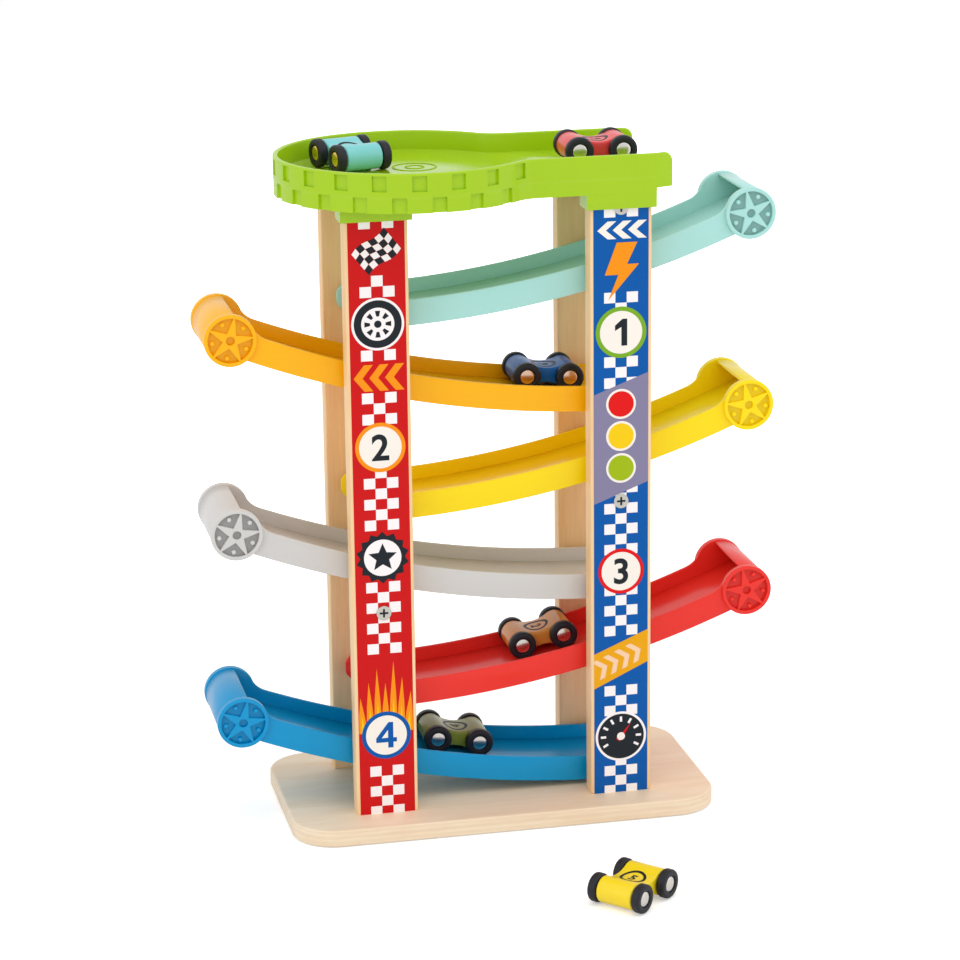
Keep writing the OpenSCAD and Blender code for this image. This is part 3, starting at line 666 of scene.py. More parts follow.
# Lengths along the plan that get a section: both sides of each brick's edge, the round tip, plain ones
def trayLengths():
    crease, margin = tray["crease"], tray["creaseMargin"]
    creases = []
    for middle in brickMiddles()[0] + brickMiddles()[1]:
        for edge in (middle - tray["brickHalf"], middle + tray["brickHalf"]):
            creases += [edge - crease, edge + crease]
    creases += [tray["wingStart"] - crease, tray["wingStart"] + crease]
    corner = tray["wingStart"] + tray["wingLength"] - tray["corner"]
    steps, count = tray["tipSteps"], tray["plainSteps"]
    creases += [corner + tray["corner"] * math.sin(math.pi / 2 * i / steps) for i in range(steps + 1)]
    plain = [tray["wingStart"] * i / count for i in range(count)]
    plain = [length for length in plain if min(abs(length - place) for place in creases) > margin]
    return sorted(length for length in creases + plain if length >= 0)


# Offsets inward and heights round the wall's section at a length along the plan
def traySection(length, rim):
    foot = rim - tray["height"] if length < tray["wingStart"] else rim - tray["wingHeight"]
    upper, lower = brickMiddles()
    crease, depth, edge = tray["crease"], tray["brickDepth"], tray["edge"]
    high = depth if any(abs(length - middle) < tray["brickHalf"] for middle in upper) else 0
    low = depth if any(abs(length - middle) < tray["brickHalf"] for middle in lower) else 0
    top = rim - tray["brickMargin"]
    bottom = top - tray["brickHeight"]
    lowerTop = foot + tray["brickHeight"]
    points = [(low, foot), (low, lowerTop - crease), (0, lowerTop + crease), (0, bottom - crease),
              (high, bottom + crease), (high, top - crease), (0, top + crease)]
    points += arcPoints((edge, rim - edge), edge, 180, 90, tray["edgeSteps"])
    points += arcPoints((tray["wall"] - edge, rim - edge), edge, 90, 0, tray["edgeSteps"])
    points.append((tray["wall"], foot))
    left = tray["wingStart"] + tray["wingLength"] - length
    if left < tray["corner"]:
        drop = tray["corner"] - math.sqrt(max(tray["corner"] ** 2 - (tray["corner"] - left) ** 2, 0))
        share = (rim - drop - foot) / (rim - foot)
        points = [(offset, foot + (z - foot) * share) for offset, z in points]
    return points


def addTrayWall(bm, rim):
    lengths = trayLengths()
    stations = [(length, 1) for length in reversed(lengths)] + [(length, -1) for length in lengths[1:]]
    loops = []
    for length, side in stations:
        place, out = trayPlace(length)
        loop = []
        for offset, z in traySection(length, rim):
            point = place - out * offset
            loop.append(bm.verts.new((point.x, -side * point.y, z)))
        loops.append(loop)
    for first, second in zip(loops, loops[1:]):
        for i in range(len(first)):
            j = (i + 1) % len(first)
            bm.faces.new((first[i], second[i], second[j], first[j]))
    bm.faces.new(loops[0])
    bm.faces.new(reversed(loops[-1]))


# Plan of the lane's floor, which ends under the wall and round the dish
def laneOutline():
    hidden = tray["wall"] / 2
    half, end = tray["laneHalf"] - hidden, tray["laneEnd"] - tray["hidden"]
    degrees = math.degrees(tray["neckAngle"])
    neck, reach = tray["neck"] + hidden, tray["radius"] - hidden - tray["laneInset"]
    points = [(end, -half), (end, half)]
    points += arcPoints((tray["neckX"], tray["neckY"]), neck, 270, 180 + degrees)
    points += arcPoints((tray["dishX"], 0), reach, degrees, -degrees, tray["dishSteps"])
    return points + arcPoints((tray["neckX"], -tray["neckY"]), neck, 180 - degrees, 90)


def addSlab(bm, outlines, low, high, rounding):
    addPlate(bm, outlines, high - low, rounding, Matrix.Translation((0, 0, (low + high) / 2)), 1)


# Socket for one post, open toward the tower's middle where the spacer bar passes
def addSocket(bm, side, row, top):
    x, wall, slot = side * tray["postX"], tray["socketWall"], tray["barSlot"]
    half = tray["socketHalf"] - tray["hidden"]
    inner, outer = tray["socketInner"], tray["laneHalf"] - tray["hidden"]
    path = [(slot, inner), (half, inner), (half, outer), (-half, outer), (-half, inner), (-slot, inner),
            (-slot, inner + wall), (wall - half, inner + wall), (wall - half, outer - wall),
            (half - wall, outer - wall), (half - wall, inner + wall), (slot, inner + wall)]
    points = [(x + u, row * v) for u, v in path]
    if row < 0:
        points.reverse()
    addSlab(bm, [points], tray["socketFoot"], tray["postTop"] + tray["hidden"], tray["socketEdge"])
    ends = sorted((row * inner, row * outer))
    addSlab(bm, [rectangleOutline(x - half, x + half, *ends)], tray["postTop"], top, tray["slabEdge"])


def buildTray(node):
    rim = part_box(node)[1].z
    dishFloor = rim - tray["floorDrop"]
    laneFloor = dishFloor + tray["laneRise"]
    laneUnder, dishUnder = laneFloor - tray["floor"], dishFloor - tray["floor"]
    edge, reach = laneFloor - tray["hidden"], tray["radius"] - tray["wall"] / 2
    bowl = [(0, dishUnder), (reach, dishUnder), (reach, edge), (tray["slopeTop"], edge),
            (tray["flat"], dishFloor), (0, dishFloor)]
    bm = bmesh.new()
    addTrayWall(bm, rim)
    turnedRing(bm, bowl, Matrix.Translation((tray["dishX"], 0, 0)) @ upright, tray["bowlSegments"])
    half, rise = tray["ringWidth"] / 2, tray["ringRise"]
    for radius in tray["ringRadii"]:
        ring = rectangleOutline(radius - half, radius + half, dishFloor - rise, dishFloor + rise)
        turnedRing(bm, ring, Matrix.Translation((*tray["ringPlace"], 0)) @ upright, tray["ringSegments"])
    addSlab(bm, [laneOutline()], laneUnder, laneFloor, tray["slabEdge"])
    half, end = tray["laneHalf"] - tray["wall"] / 2, tray["laneEnd"]
    endWall = rectangleOutline(end - tray["wall"], end, -half, half)
    addSlab(bm, [endWall], rim - tray["height"], edge, tray["endEdge"])
    for side, under in ((-1, dishUnder), (1, laneUnder)):
        for row in (-1, 1):
            addSocket(bm, side, row, under + tray["floor"] / 2)
    # The floors of dish and lane take the lighter, glossier copy of the tray green: a painted sheen along
    # with a real gloss
    for face in bm.faces:
        if all(dishFloor - tray["hidden"] < vert.co.z < laneFloor + tray["hidden"] for vert in face.verts):
            face.material_index = 1
    standIn(node, node + "_shell", bm, tray["sharpAngle"], more=["tray_green_glossy_lit"])


for node in nodes:
    if node.endswith("_track"):
        buildRamp(node)
    elif node.endswith("_post"):
        buildPost(node)
buildTray("top_tray")
for node in nodes:
    label = slotOf[node]
    if label in ("base_wood", "bar_wood", "screw_steel"):
        nodes[node].data.materials.clear()
        nodes[node].data.materials.append(materials[label])
print("frame dressed")


# Printed fronts of the posts, in mm: across from the post's middle and up from the ground
sheet = {"halfWidth": 16.1, "topGap": 0.25, "layer": 0.05, "squareWidth": 6.56, "squareHeight": 6.15,
         "columnPitch": 6.6, "squareLevel": 2, "numeral": 15.6, "boldness": 0.06}
chevron = {"count": 3, "pitch": 8.9, "reach": 6.0, "width": 5.0}


def chevronOutline(tip, reach, width, height):
    x, z = tip
    return [(x, z), (x + reach, z - height / 2), (x + reach + width, z - height / 2), (x + width, z),
            (x + reach + width, z + height / 2), (x + reach, z + height / 2)]


def turnOutline(outline, degrees, centre):
    c, s = math.cos(math.radians(degrees)), math.sin(math.radians(degrees))
    return [(centre[0] + (x - centre[0]) * c - (z - centre[1]) * s,
             centre[1] + (x - centre[0]) * s + (z - centre[1]) * c) for x, z in outline]


class PrintedFront:
    def __init__(self, post):
        low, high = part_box(post)
        self.post = post
        self.middle = (low.x + high.x) / 2
        self.faceY = low.y
        self.bottom = low.z / mm
        self.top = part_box("top_tray")[0].z / mm - sheet["topGap"]
        self.labels = []
        self.bm = bmesh.new()

    # Gives the faces that came after a number of them one ink
    def ink(self, first, label):
        if label not in self.labels:
            self.labels.append(label)
        paintFaces(self.bm, first, self.labels.index(label))

    # A closed plate of ink, as many layers thick as its level
    def plate(self, label, level, outline):
        first = len(self.bm.faces)
        frontY = self.faceY - level * sheet["layer"] * mm
        front, back = [[self.bm.verts.new((self.middle + x * mm, y, z * mm)) for x, z in outline]
                       for y in (frontY, self.faceY)]
        self.bm.faces.new(front)
        self.bm.faces.new(back[::-1])
        for i in range(len(outline)):
            j = (i + 1) % len(outline)
            self.bm.faces.new((front[j], front[i], back[i], back[j]))
        self.ink(first, label)

    def rectangle(self, label, level, left, right, low, high):
        self.plate(label, level, rectangleOutline(left, right, max(low, self.bottom), min(high, self.top)))

    # Discs on one another, each a level higher than the last
    def discs(self, height, level, *rings):
        for i, (label, radius) in enumerate(rings):
            self.plate(label, level + i, discOutline(radius, (0, height)))

    # Equal bars round a centre
    def spokes(self, label, level, height, turns, bar):
        near, far = height + bar["near"], height + bar["far"]
        narrow, wide = bar["nearHalf"], bar["farHalf"]
        outline = [(-narrow, near), (narrow, near), (wide, far), (-wide, far)]
        for turn in turns:
            self.plate(label, level, turnOutline(outline, turn, (0, height)))

    # The outer squares of a row that the sheet's end cuts short
    def cutRow(self, height):
        level, half, tall = sheet["squareLevel"], sheet["squareWidth"] / 2, sheet["squareHeight"] / 2
        for x in (-sheet["columnPitch"], sheet["columnPitch"]):
            self.rectangle("inkWhite", level, x - half, x + half, height - tall, height + tall)

    def numeral(self, label, level, text, height):
        first, thickness = len(self.bm.faces), level * sheet["layer"] * mm
        place = Matrix.Translation((self.middle, self.faceY - thickness / 2, height * mm)) @ upright
        addNumeral(self.bm, text, sheet["numeral"] * mm, thickness, sheet["boldness"], place)
        self.ink(first, label)

    def finish(self, name):
        settle(pieceFromBmesh(name, self.bm, self.labels), self.post)


# Numerals drawn as listed points, one unit tall: outlines first, holes the other way round
drawnNumerals = {
    "1": [[(0, -0.5), (0.22, -0.5), (0.22, 0.5), (0.04, 0.5), (-0.24, 0.26), (-0.24, 0.06), (0, 0.2)]],
    "4": [[(0.06, -0.5), (0.26, -0.5), (0.26, -0.28), (0.39, -0.28), (0.39, -0.11), (0.26, -0.11),
           (0.26, 0.5), (0.08, 0.5), (-0.39, -0.11), (-0.39, -0.28), (0.06, -0.28)],
          [(0.06, -0.11), (-0.18, -0.11), (0.06, 0.2)]]}
fontLook = {"tallShare": 0.70, "resolution": 12}  # share of the font's size that its figures are tall


# A bold numeral as a closed mesh, centred on its place and facing that place's +Z
def addNumeral(target, text, tall, thickness, boldness, matrix):
    bm = bmesh.new()
    if text in drawnNumerals:
        outlines = [[(x * tall, y * tall) for x, y in outline] for outline in drawnNumerals[text]]
        addPlate(bm, outlines, thickness, thickness / 8, Matrix.Identity(4), 0)
    else:
        curve = bpy.data.curves.new("numeral", "FONT")
        curve.body = text
        curve.size = tall * (1 - boldness) / fontLook["tallShare"]
        curve.offset = boldness * tall / 2
        curve.extrude = thickness / 2
        curve.resolution_u = fontLook["resolution"]
        pour(bm, meshFromCurve(curve))
    mergeDoubles(bm)
    low, high = [Vector([pick(vert.co[i] for vert in bm.verts) for i in range(3)]) for pick in (min, max)]
    bmesh.ops.translate(bm, verts=bm.verts, vec=-(low + high) / 2)
    mesh = bpy.data.meshes.new("numeral")
    bm.to_mesh(mesh)
    bm.free()
    pour(target, mesh, matrix)


# Rows of printed squares as a Geometry Nodes tree: outer pair, middle one, outer pair and so on
def buildCheckStrip():
    lengths = ("Top Height", "Middle", "Face Y", "Width", "Height", "Pitch", "Thickness")
    tree, start, end = newGroup(
        "checkStrip",
        [("Geometry", "Geometry"), ("Rows", "Int"), ("Start Outside", "Int"),
         *[(label, "Float") for label in lengths], ("Ink", "Material")],
        [("Geometry", "Geometry")], "GeometryNodeTree")
    index = tree.nodes.new("GeometryNodeInputIndex").outputs[0]
    row = calc(tree, "FLOOR", calc(tree, "DIVIDE", index, 3))
    column = calc(tree, "SUBTRACT", calc(tree, "MODULO", index, 3), 1)
    outside = calc(tree, "ADD", calc(tree, "ABSOLUTE", column), start["Start Outside"])
    parity = calc(tree, "ADD", row, outside)
    empty = calc(tree, "GREATER_THAN", calc(tree, "MODULO", parity, 2), 0.5)
    place = addNode(tree, "ShaderNodeCombineXYZ", {
        "X": calc(tree, "MULTIPLY_ADD", column, start["Pitch"], start["Middle"]),
        "Y": calc(tree, "SUBTRACT", start["Face Y"], calc(tree, "DIVIDE", start["Thickness"], 2)),
        "Z": calc(tree, "SUBTRACT", start["Top Height"], calc(tree, "MULTIPLY", row, start["Height"]))})
    size = addNode(tree, "ShaderNodeCombineXYZ",
                   {"X": start["Width"], "Y": start["Thickness"], "Z": start["Height"]})
    count = calc(tree, "MULTIPLY", start["Rows"], 3)
    points = addNode(tree, "GeometryNodePoints", {"Count": count, "Position": place.outputs[0]})
    cull = addNode(tree, "GeometryNodeDeleteGeometry", {"Geometry": points.outputs[0], "Selection": empty})
    square = addNode(tree, "GeometryNodeMeshCube", {"Size": size.outputs[0]})
    copies = addNode(tree, "GeometryNodeInstanceOnPoints",
                     {"Points": cull.outputs[0], "Instance": square.outputs["Mesh"]})
    realize = addNode(tree, "GeometryNodeRealizeInstances", {0: copies.outputs[0]})
    ink = addNode(tree, "GeometryNodeSetMaterial",
                  {"Geometry": realize.outputs[0], "Material": start["Ink"]})
    feed(tree, end, {0: ink.outputs[0]})
    return tree


checkStrip = buildCheckStrip()


def runTree(tree, values):
    holder = bpy.data.objects.new(tree.name, bpy.data.meshes.new(tree.name))
    modifier = holder.modifiers.new(tree.name, "NODES")
    modifier.node_group = tree
    sockets = {item.name: item.identifier for item in tree.interface.items_tree if item.in_out == "INPUT"}
    for label, value in values.items():
        modifier[sockets[label]] = value
    return evaluatedMesh(holder)


# Strips of squares, each by its top row's height, its number of rows and 1 where an outer pair is on top
def printChecks(front, *strips):
    thickness = sheet["squareLevel"] * sheet["layer"] * mm
    for topHeight, rows, startOutside in strips:
        first = len(front.bm.faces)
        pour(front.bm, runTree(checkStrip, {
            "Rows": rows, "Start Outside": startOutside, "Top Height": topHeight * mm,
            "Middle": front.middle, "Face Y": front.faceY, "Width": sheet["squareWidth"] * mm,
            "Height": sheet["squareHeight"] * mm, "Pitch": sheet["columnPitch"] * mm,
            "Thickness": thickness, "Ink": materials["inkWhite"]}))
        front.ink(first, "inkWhite")


def printRoundel(front, ring, ink, text, height, outer, inner):
    front.discs(height, 4, (ring, outer), ("inkCream", inner))
    front.numeral(ink, 6, text, height)


def printChevrons(front, label, height, first, tall):
    for i in range(chevron["count"]):
        tip = (first + i * chevron["pitch"], height)
        front.plate(label, 3, chevronOutline(tip, chevron["reach"], chevron["width"], tall))


# A waving chequered flag from tilted cells, dark and pale by turns
def printFlag(front, flag):
    columns, rows, cell = flag["columns"], flag["rows"], flag["cell"]

    def corner(i, j):
        wave = flag["wave"] * math.sin(2 * math.pi * i / columns)
        return ((i - columns / 2) * cell, flag["height"] + (j - rows / 2) * cell + wave)

    near, far = flag["gapShare"], 1 - flag["gapShare"]
    for i in range(columns):
        for j in range(rows):
            outline = [corner(i + u, j + v) for u, v in ((near, near), (far, near), (far, far), (near, far))]
            label = "inkWhite" if (i + j) % 2 else "blackInkAndShade"
            front.plate(label, 3, turnOutline(outline, flag["tilt"], (0, flag["height"])))


# A spoked disc: pale rim, dark ring, pale centre and dark windows
def printSpokedDisc(front, height, radii, windows, bar):
    front.discs(height, 3, *zip(("inkWhite", "blackInkAndShade", "inkWhite", "blackInkAndShade"), radii))
    front.spokes("blackInkAndShade", 6, height, [360 * i / windows for i in range(windows)], bar)


# A toothed ring round a plain star
def printToothedStar(front, height, teeth, ring, face, star):
    front.plate("blackInkAndShade", 3, starOutline(*ring, teeth, (0, height)))
    front.discs(height, 5, ("inkWhite", face))
    front.plate("blackInkAndShade", 6, starOutline(*star, 5, (0, height)))


# A fan of pointed rays that rises from behind a roundel
def printRays(front, rays):
    half, low = rays["half"], rays["foot"]
    for i, tall in enumerate(rays["tall"]):
        foot = rays["first"] + i * rays["pitch"]
        lean = foot * rays["lean"]
        sides = [(foot + lean * leanShare + half * halfShare, low + tall * tallShare)
                 for leanShare, halfShare, tallShare in rays["sideShares"]]
        front.plate("inkOrange", 3, [(foot - half, low), (foot + half, low), *sides])
        core = [(foot - half / 2, low), (foot + half / 2, low), (foot + lean / 2, low + tall / 2)]
        front.plate("inkYellow", 3.5, core)


# A dial with ticks and a needle
def printDial(front, dial):
    height = dial["height"]
    front.discs(height, 3, ("inkWhite", dial["rim"]), ("blackInkAndShade", dial["face"]))
    turns = [dial["firstTick"] - i * dial["tickStep"] for i in range(dial["ticks"])]
    front.spokes("inkWhite", 5, height, turns, dial["tick"])
    across, back = dial["needleHalf"], height - dial["needleBack"]
    needle = [(-across, back), (across, back), (0, height + dial["needle"])]
    front.plate("inkSignal", 6, turnOutline(needle, dial["needleTurn"], (0, height)))
    front.discs(height, 7, ("inkCream", dial["hub"]))


# A sloping band with chevrons that follow it
def printBand(front, band):
    half, height = sheet["halfWidth"], (band["leftLow"] + band["leftHigh"]) / 2
    front.plate("inkAmber", 3, [(-half, band["leftLow"]), (half, band["rightLow"]),
                                (half, band["rightHigh"]), (-half, band["leftHigh"])])
    for i in range(band["count"]):
        x = band["first"] + i * band["pitch"]
        z = height + (x - band["start"]) * band["slope"]
        outline = chevronOutline((-x, z), band["reach"], band["width"], band["tall"])
        mirrored = [(-across, up) for across, up in reversed(outline)]
        front.plate("inkPeach", 4, turnOutline(mirrored, band["turn"], (x, z)))


def printRedPost():
    front = PrintedFront("front_left_post")
    half = sheet["halfWidth"]
    front.rectangle("inkRed", 1, -half, half, front.bottom, front.top)
    front.cutRow(358.4)
    printFlag(front, {"height": 342.5, "tilt": 38, "columns": 6, "rows": 4, "cell": 3.9, "wave": 1.3,
                      "gapShare": 0.02})
    printChecks(front, (325.8, 2, 0), (283.5, 1, 1), (258.9, 3, 1), (215.4, 6, 0), (147.8, 7, 1),
                (36.3, 4, 1))
    front.cutRow(11.7)
    printSpokedDisc(front, 301.3, (15.0, 13.6, 9.4, 2.1), 8,
                    {"near": 4.4, "far": 7.6, "nearHalf": 0.75, "farHalf": 1.5})
    printChevrons(front, "inkOrange", 270.6, -14.3, 15.2)
    printRoundel(front, "inkOrange", "blackInkAndShade", "2", 230.2, 14.4, 12.2)
    printToothedStar(front, 165.3, 14, (15.4, 12.9), 10.8, (8.6, 3.9))
    printRays(front, {"first": -13.2, "pitch": 4.4, "half": 2.6, "lean": 0.12, "foot": 60.0,
                      "tall": [22, 31, 39, 30, 43, 33, 24],
                      "sideShares": ((0.6, 0.55, 0.55), (1, 0, 1), (0.45, -0.7, 0.5))})
    printRoundel(front, "inkBlue", "inkBlue", "4", 58.2, 14.4, 12.0)
    front.finish("redPostPrint")


def printBluePost():
    front = PrintedFront("front_right_post")
    half = sheet["halfWidth"]
    front.rectangle("inkBlue", 1, -half, half, front.bottom, front.top)
    front.cutRow(357.6)
    printChevrons(front, "inkCream", 347.2, -13.8, 10.2)
    bolt = [(-2.5, 340), (9.5, 340), (3.5, 327.5), (10.5, 327.5), (-7.5, 307), (-1.5, 321.5), (-9.5, 321.5)]
    front.plate("inkOrange", 3, bolt)
    printChecks(front, (308.4, 2, 1), (271.0, 3, 1), (196.6, 7, 1), (134.9, 5, 1), (73.4, 3, 1),
                (29.8, 3, 0))
    front.cutRow(11.5)
    printRoundel(front, "inkGreen", "blackInkAndShade", "1", 288.2, 14.9, 12.4)
    front.plate("inkMauve", 3, [(-half, 187.4), (half, 199.6), (half, 264.2), (-half, 252.2)])
    for label, height in (("inkSignal", 246.3), ("inkYellow", 227.4), ("inkLime", 208.4)):
        front.discs(height, 4, ("inkCream", 8.8), (label, 7.5))
    printRoundel(front, "inkSignal", "blackInkAndShade", "3", 146.4, 13.6, 11.6)
    printBand(front, {"leftLow": 75.2, "leftHigh": 96.5, "rightHigh": 109.9, "rightLow": 90.2, "count": 4,
                      "first": -8.2, "pitch": 6.7, "start": -16, "slope": 14.0 / 32, "reach": 4.2,
                      "width": 3.4, "tall": 12.0, "turn": 24})
    printDial(front, {"height": 44.9, "rim": 15.3, "face": 13.9, "ticks": 9, "firstTick": 120,
                      "tickStep": 30, "tick": {"near": 9.0, "far": 12.2, "nearHalf": 0.7, "farHalf": 0.7},
                      "needle": 9.6, "needleBack": 3, "needleHalf": 1.3, "needleTurn": -38, "hub": 2.4})
    front.finish("bluePostPrint")


printRedPost()
printBluePost()
print("prints laid on the posts")


# Cross recess screws that clamp the posts on the spacer bars; facing is -1 in front and 1 behind
# Each cross recess holds a black disc just under the head's face: painted shade for the dark of the recess
screw = {"radius": 4.3 * mm, "rise": 0.8 * mm, "edge": 0.2 * mm, "slotLong": 2.5 * mm,
         "slotHalf": 0.55 * mm, "headCount": 48, "shadeDiscMargin": 0.2 * mm, "shadeDiscLevel": 0.36 * mm,
         "shadeDiscHalf": 0.06 * mm, "shank": 1.7 * mm, "shankOverlap": 0.1 * mm, "rodSegments": 24}


def crossOutline(long, half):
    arm = [(long, -half), (long, half), (half, half)]
    return [point for turn in (0, 90, 180, 270) for point in turnOutline(arm, turn, (0, 0))]


def addRod(bm, radius, x, low, high, z):
    place = Matrix.Translation((x, 0, z))
    turnedRing(bm, rectangleOutline(0, radius, low, high), place, screw["rodSegments"])


def buildScrews(node, post, facing):
    low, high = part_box(post)
    faceY, innerY = (low.y, high.y) if facing < 0 else (high.y, low.y)
    shadeDiscY, half = faceY + facing * screw["shadeDiscLevel"], screw["shadeDiscHalf"]
    headY, shift = faceY + facing * screw["rise"] / 2, facing * screw["shankOverlap"]
    shankLow, shankHigh = sorted((faceY + shift, innerY + shift))
    outlines = [discOutline(screw["radius"], count=screw["headCount"]),
                crossOutline(screw["slotLong"], screw["slotHalf"])[::-1]]
    bm = bmesh.new()
    for bar in [name for name in nodes if name.endswith("_bar")]:
        low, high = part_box(bar)
        x, z = (low.x + high.x) / 2, (low.z + high.z) / 2
        headPlace = Matrix.Translation((x, headY, z)) @ upright
        addPlate(bm, outlines, screw["rise"], screw["edge"], headPlace)
        # painted shade: the black disc that darkens the cross recess
        first = len(bm.faces)
        addRod(bm, screw["slotLong"] + screw["shadeDiscMargin"], x, shadeDiscY - half, shadeDiscY + half, z)
        paintFaces(bm, first, 1)
        addRod(bm, screw["shank"], x, shankLow, shankHigh, z)
    standIn(node, node + "_heads", bm, more=["blackInkAndShade"])


buildScrews("front_screws", "front_left_post", -1)
buildScrews("rear_screws", "rear_left_post", 1)


# Cars: eased bodies, turned wheels and axles, and a ringed number on each waist
carLook = {"wheelRadius": 8.2 * mm, "wheelWidth": 5.2 * mm, "shoulder": 1.3 * mm, "shoulderSteps": 5,
           "innerEase": 0.6 * mm, "innerRise": 0.2 * mm, "dishRadius": 4.7 * mm, "dishDepth": 1.6 * mm,
           "lip": 0.45 * mm, "lipSteps": 3, "axleRadius": 1.25 * mm, "clearance": 0.02 * mm,
           "headRadius": 4.5 * mm, "headRim": 0.5 * mm, "headEase": 0.15 * mm, "headDome": 1.15 * mm,
           "domeSteps": 7, "turnedAngle": 35, "waistRadius": 20 * mm, "waistCentre": 24.32 * mm,
           "lobe": 7.5 * mm, "wheelbase": 25.5 * mm, "lobeSteps": 28, "waistSteps": 20,
           "bodyWidth": 22.4 * mm, "bodyEdge": 1.1 * mm, "bodyEdgeSteps": 4, "badgeOuter": 7.4 * mm,
           "badgeInner": 5.8 * mm, "badgeRise": 0.12 * mm, "badgeSink": 0.1 * mm, "badgeCut": 0.75 * mm,
           "badgeCuts": 9, "badgeSegments": 64, "numeralTall": 6.2 * mm, "boldness": 0.07}
cars = {"teal": "3", "red": "1", "dark_blue": "6", "ochre": "2", "olive": "4", "yellow": "5"}


def carPlace(car):
    front = Vector(joints[car + "_front_spin"]["pos_m"])
    rear = Vector(joints[car + "_rear_spin"]["pos_m"])
    along = (rear - front).normalized()
    across = Vector(joints[car + "_front_spin"]["axis"]).normalized()
    up = along.cross(across)
    if up.z < 0:
        across, up = -across, -up
    return Matrix((along, across, up)).transposed().to_4x4(), front, rear


# Side view of a car's body: two round ends joined by hollow waists
def bodyOutline():
    lobe, waist, centre = carLook["lobe"], carLook["waistRadius"], carLook["waistCentre"]
    half, lobeSteps, waistSteps = carLook["wheelbase"] / 2, carLook["lobeSteps"], carLook["waistSteps"]
    lean = math.degrees(math.atan2(centre, half))
    points = arcPoints((half, 0), lobe, lean - 180, 180 - lean, lobeSteps)
    points += arcPoints((0, centre), waist, -lean, lean - 180, waistSteps)[1:-1]
    points += arcPoints((-half, 0), lobe, lean, 360 - lean, lobeSteps)
    return points + arcPoints((0, -centre), waist, 180 - lean, lean, waistSteps)[1:-1]


def wheelProfile(innerY, outerY):
    shoulder, dish, lip = carLook["shoulder"], carLook["dishRadius"], carLook["lip"]
    bore, floor = carLook["axleRadius"] + carLook["clearance"], outerY - carLook["dishDepth"]
    tread, ease = carLook["wheelRadius"] - shoulder, carLook["innerEase"]
    profile = [(bore, innerY), (tread - 2 * ease, innerY), (tread - ease, innerY + carLook["innerRise"])]
    profile += arcPoints((tread, innerY + shoulder), shoulder, 270, 360, carLook["shoulderSteps"])
    profile += arcPoints((tread, outerY - shoulder), shoulder, 0, 90, carLook["shoulderSteps"])
    profile += arcPoints((dish + lip, outerY - lip), lip, 90, 180, carLook["lipSteps"])
    return profile + [(dish, floor), (bore, floor)]


def mirroredProfile(profile):
    return [(r, -along) for r, along in reversed(profile)]


def axleProfile(outerY):
    head, ease, steps = carLook["headRadius"], carLook["headEase"], carLook["domeSteps"]
    foot = outerY - carLook["dishDepth"] + carLook["clearance"]
    rim = foot + carLook["headRim"]
    half = [(carLook["axleRadius"], foot), (head - ease, foot), (head, foot + ease), (head, rim)]
    for i in range(1, steps):
        angle = math.pi / 2 * i / steps
        half.append((head * math.cos(angle), rim + carLook["headDome"] * math.sin(angle)))
    half.append((0, rim + carLook["headDome"]))
    return mirroredProfile(half) + half


# A ring and a numeral, cut into narrow strips and bent over the hollow waist
def buildBadge(car, turn, centre):
    bm = bmesh.new()
    rise, sink = carLook["badgeRise"], carLook["badgeSink"]
    outer, inner = carLook["badgeOuter"], carLook["badgeInner"]
    middle = (outer + inner) / 2
    profile = [(outer, -sink), (outer, rise), (middle, rise), (inner, rise), (inner, -sink), (middle, -sink)]
    turnedRing(bm, profile, upright, carLook["badgeSegments"])
    place = Matrix.Translation((0, 0, (rise - sink) / 2)) @ Matrix.Rotation(-math.pi / 2, 4, "Z")
    addNumeral(bm, cars[car], carLook["numeralTall"], rise + sink, carLook["boldness"], place)
    for i in range(-carLook["badgeCuts"], carLook["badgeCuts"] + 1):
        bmesh.ops.bisect_plane(bm, geom=bm.verts[:] + bm.edges[:] + bm.faces[:], dist=mergeDistance / 10,
                               plane_co=(i * carLook["badgeCut"], 0, 0), plane_no=(1, 0, 0))
    for vert in bm.verts:
        x, y, z = vert.co
        waist = carLook["waistCentre"] - math.sqrt(carLook["waistRadius"] ** 2 - x * x)
        vert.co = turn @ Vector((x, y, z + waist)) + centre
    settle(pieceFromBmesh(car + "Badge", bm, ["blackInkAndShade"]), car + "_car_body")


def buildCar(car):
    turn, front, rear = carPlace(car)
    low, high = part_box("red_front_wheels")
    outerY = (high.y - low.y) / 2
    profile = wheelProfile(outerY - carLook["wheelWidth"], outerY)
    body = bmesh.new()
    place = Matrix.Translation((front + rear) / 2) @ turn @ upright
    width, edge, steps = carLook["bodyWidth"], carLook["bodyEdge"], carLook["bodyEdgeSteps"]
    addPlate(body, [bodyOutline()], width, edge, place, steps)
    standIn(car + "_car_body", car + "Body", body)
    for end, centre in (("front", front), ("rear", rear)):
        place = Matrix.Translation(centre) @ turn
        wheels, axle = bmesh.new(), bmesh.new()
        turnedRing(wheels, profile, place)
        turnedRing(wheels, mirroredProfile(profile), place)
        turnedRing(axle, axleProfile(outerY), place)
        standIn(f"{car}_{end}_wheels", f"{car}_{end}_tyres", wheels, carLook["turnedAngle"])
        standIn(f"{car}_{end}_axle", f"{car}_{end}_pin", axle, carLook["turnedAngle"])
    buildBadge(car, turn, (front + rear) / 2)


for car in cars:
    buildCar(car)
print("cars built:", len(cars))


# Camera at the photograph's place, in mm
cameraLook = {"place": (-372.41, -1716.58, 685.06), "target": (-3.15, 0, 194.22), "roll": -0.0123,
              "lens": 117.07, "sensor": 36}


def addObject(name, data, place, turn):
    thing = bpy.data.objects.new(name, data)
    scene.collection.objects.link(thing)
    thing.matrix_world = Matrix.Translation(place) @ turn.to_4x4()
    return thing


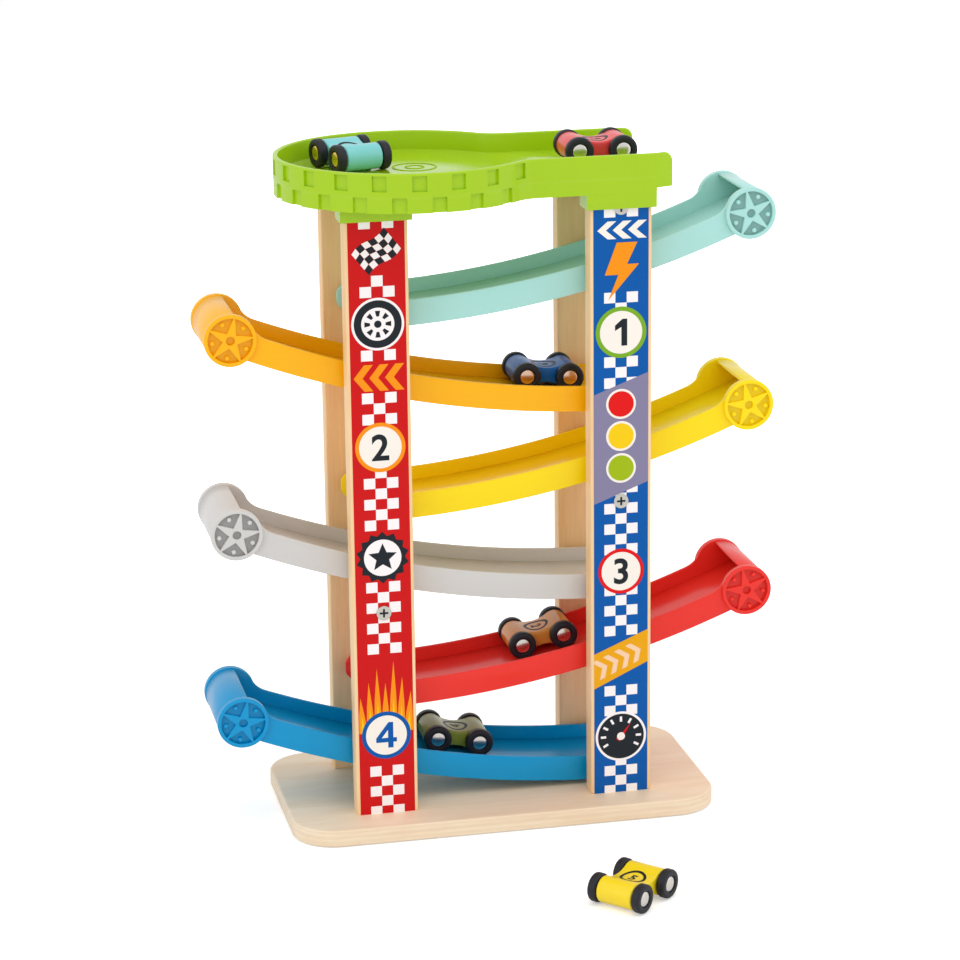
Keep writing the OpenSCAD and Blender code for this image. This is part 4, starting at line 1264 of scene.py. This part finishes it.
def buildCamera():
    data = bpy.data.cameras.new("camera")
    data.sensor_width, data.lens = cameraLook["sensor"], cameraLook["lens"]
    place = Vector(cameraLook["place"]) * mm
    forward = (Vector(cameraLook["target"]) * mm - place).normalized()
    right = forward.cross(Vector((0, 0, 1))).normalized()
    up = right.cross(forward)
    c, s = math.cos(cameraLook["roll"]), math.sin(cameraLook["roll"])
    turn = Matrix((right * c + up * s, up * c - right * s, -forward)).transposed()
    scene.camera = addObject("camera", data, place, turn)


buildCamera()


# Studio: pale floor, pale surroundings and three soft lamps
studio = {"floorSize": 8.0, "floorDrop": 0.4 * mm, "worldStrength": 0.92, "mirrorStrength": 0.9,
          "floorTone": 0.93, "floorRoughness": 0.8, "floorSpecular": 0.1,
          "liftNear": 0.36, "liftFar": 1.0, "liftSpan": (0.22, 0.8), "target": (0, 0, 0.2),
          "lamps": [("leftBox", (-1.5, -0.9, 0.9), (1.0, 1.4), 3.1),
                    ("rightBox", (1.6, -0.7, 0.9), (1.0, 1.4), 2.7),
                    ("topBox", (0.0, -0.6, 1.9), (1.6, 1.2), 4.1)]}


def addLamp(name, place, size, power):
    data = bpy.data.lights.new(name, "AREA")
    data.shape = "RECTANGLE"
    data.size, data.size_y = size
    data.energy = power
    direction = (Vector(studio["target"]) - Vector(place)).normalized()
    addObject(name, data, place, direction.to_track_quat("-Z", "Y").to_matrix())


# White to the camera, and of a set strength to everything else
def buildWorld():
    world = bpy.data.worlds.new("studio")
    scene.world = world
    world.use_nodes = True
    tree = world.node_tree
    path = tree.nodes.new("ShaderNodeLightPath").outputs
    seen = calc(tree, "MAXIMUM", path["Is Camera Ray"], path["Is Transmission Ray"])
    change = studio["mirrorStrength"] - studio["worldStrength"]
    mirror = calc(tree, "MULTIPLY_ADD", path["Is Glossy Ray"], change, studio["worldStrength"])
    strength = calc(tree, "MAXIMUM", seen, mirror)
    feed(tree, tree.nodes["Background"], {"Color": (1, 1, 1, 1), "Strength": strength})


# To the camera the floor gives off more light the further it lies out, until it is white
def buildFloor():
    material, tree, shader = newMaterial("studioFloor")
    far = addNode(tree, "ShaderNodeVectorMath", {0: objectPlace(tree)}, operation="LENGTH").outputs["Value"]
    fade = addRange(tree, far, studio["liftNear"], studio["liftFar"], studio["liftSpan"],
                    interpolation_type="SMOOTHSTEP")
    camera = tree.nodes.new("ShaderNodeLightPath").outputs["Is Camera Ray"]
    feed(tree, shader, {"Base Color": (*[studio["floorTone"]] * 3, 1), "Roughness": studio["floorRoughness"],
                        "Specular IOR Level": studio["floorSpecular"], "Emission Color": (1, 1, 1, 1),
                        "Emission Strength": calc(tree, "MULTIPLY", camera, fade)})
    materials["studioFloor"] = material
    half = studio["floorSize"] / 2
    bm = bmesh.new()
    corners = rectangleOutline(-half, half, -half, half)
    bm.faces.new([bm.verts.new((x, y, -studio["floorDrop"])) for x, y in corners])
    pieceFromBmesh("floor", bm, ["studioFloor"])


for lamp in studio["lamps"]:
    addLamp(*lamp)
buildWorld()
buildFloor()
scene.view_settings.view_transform = "Standard"
print("studio built")
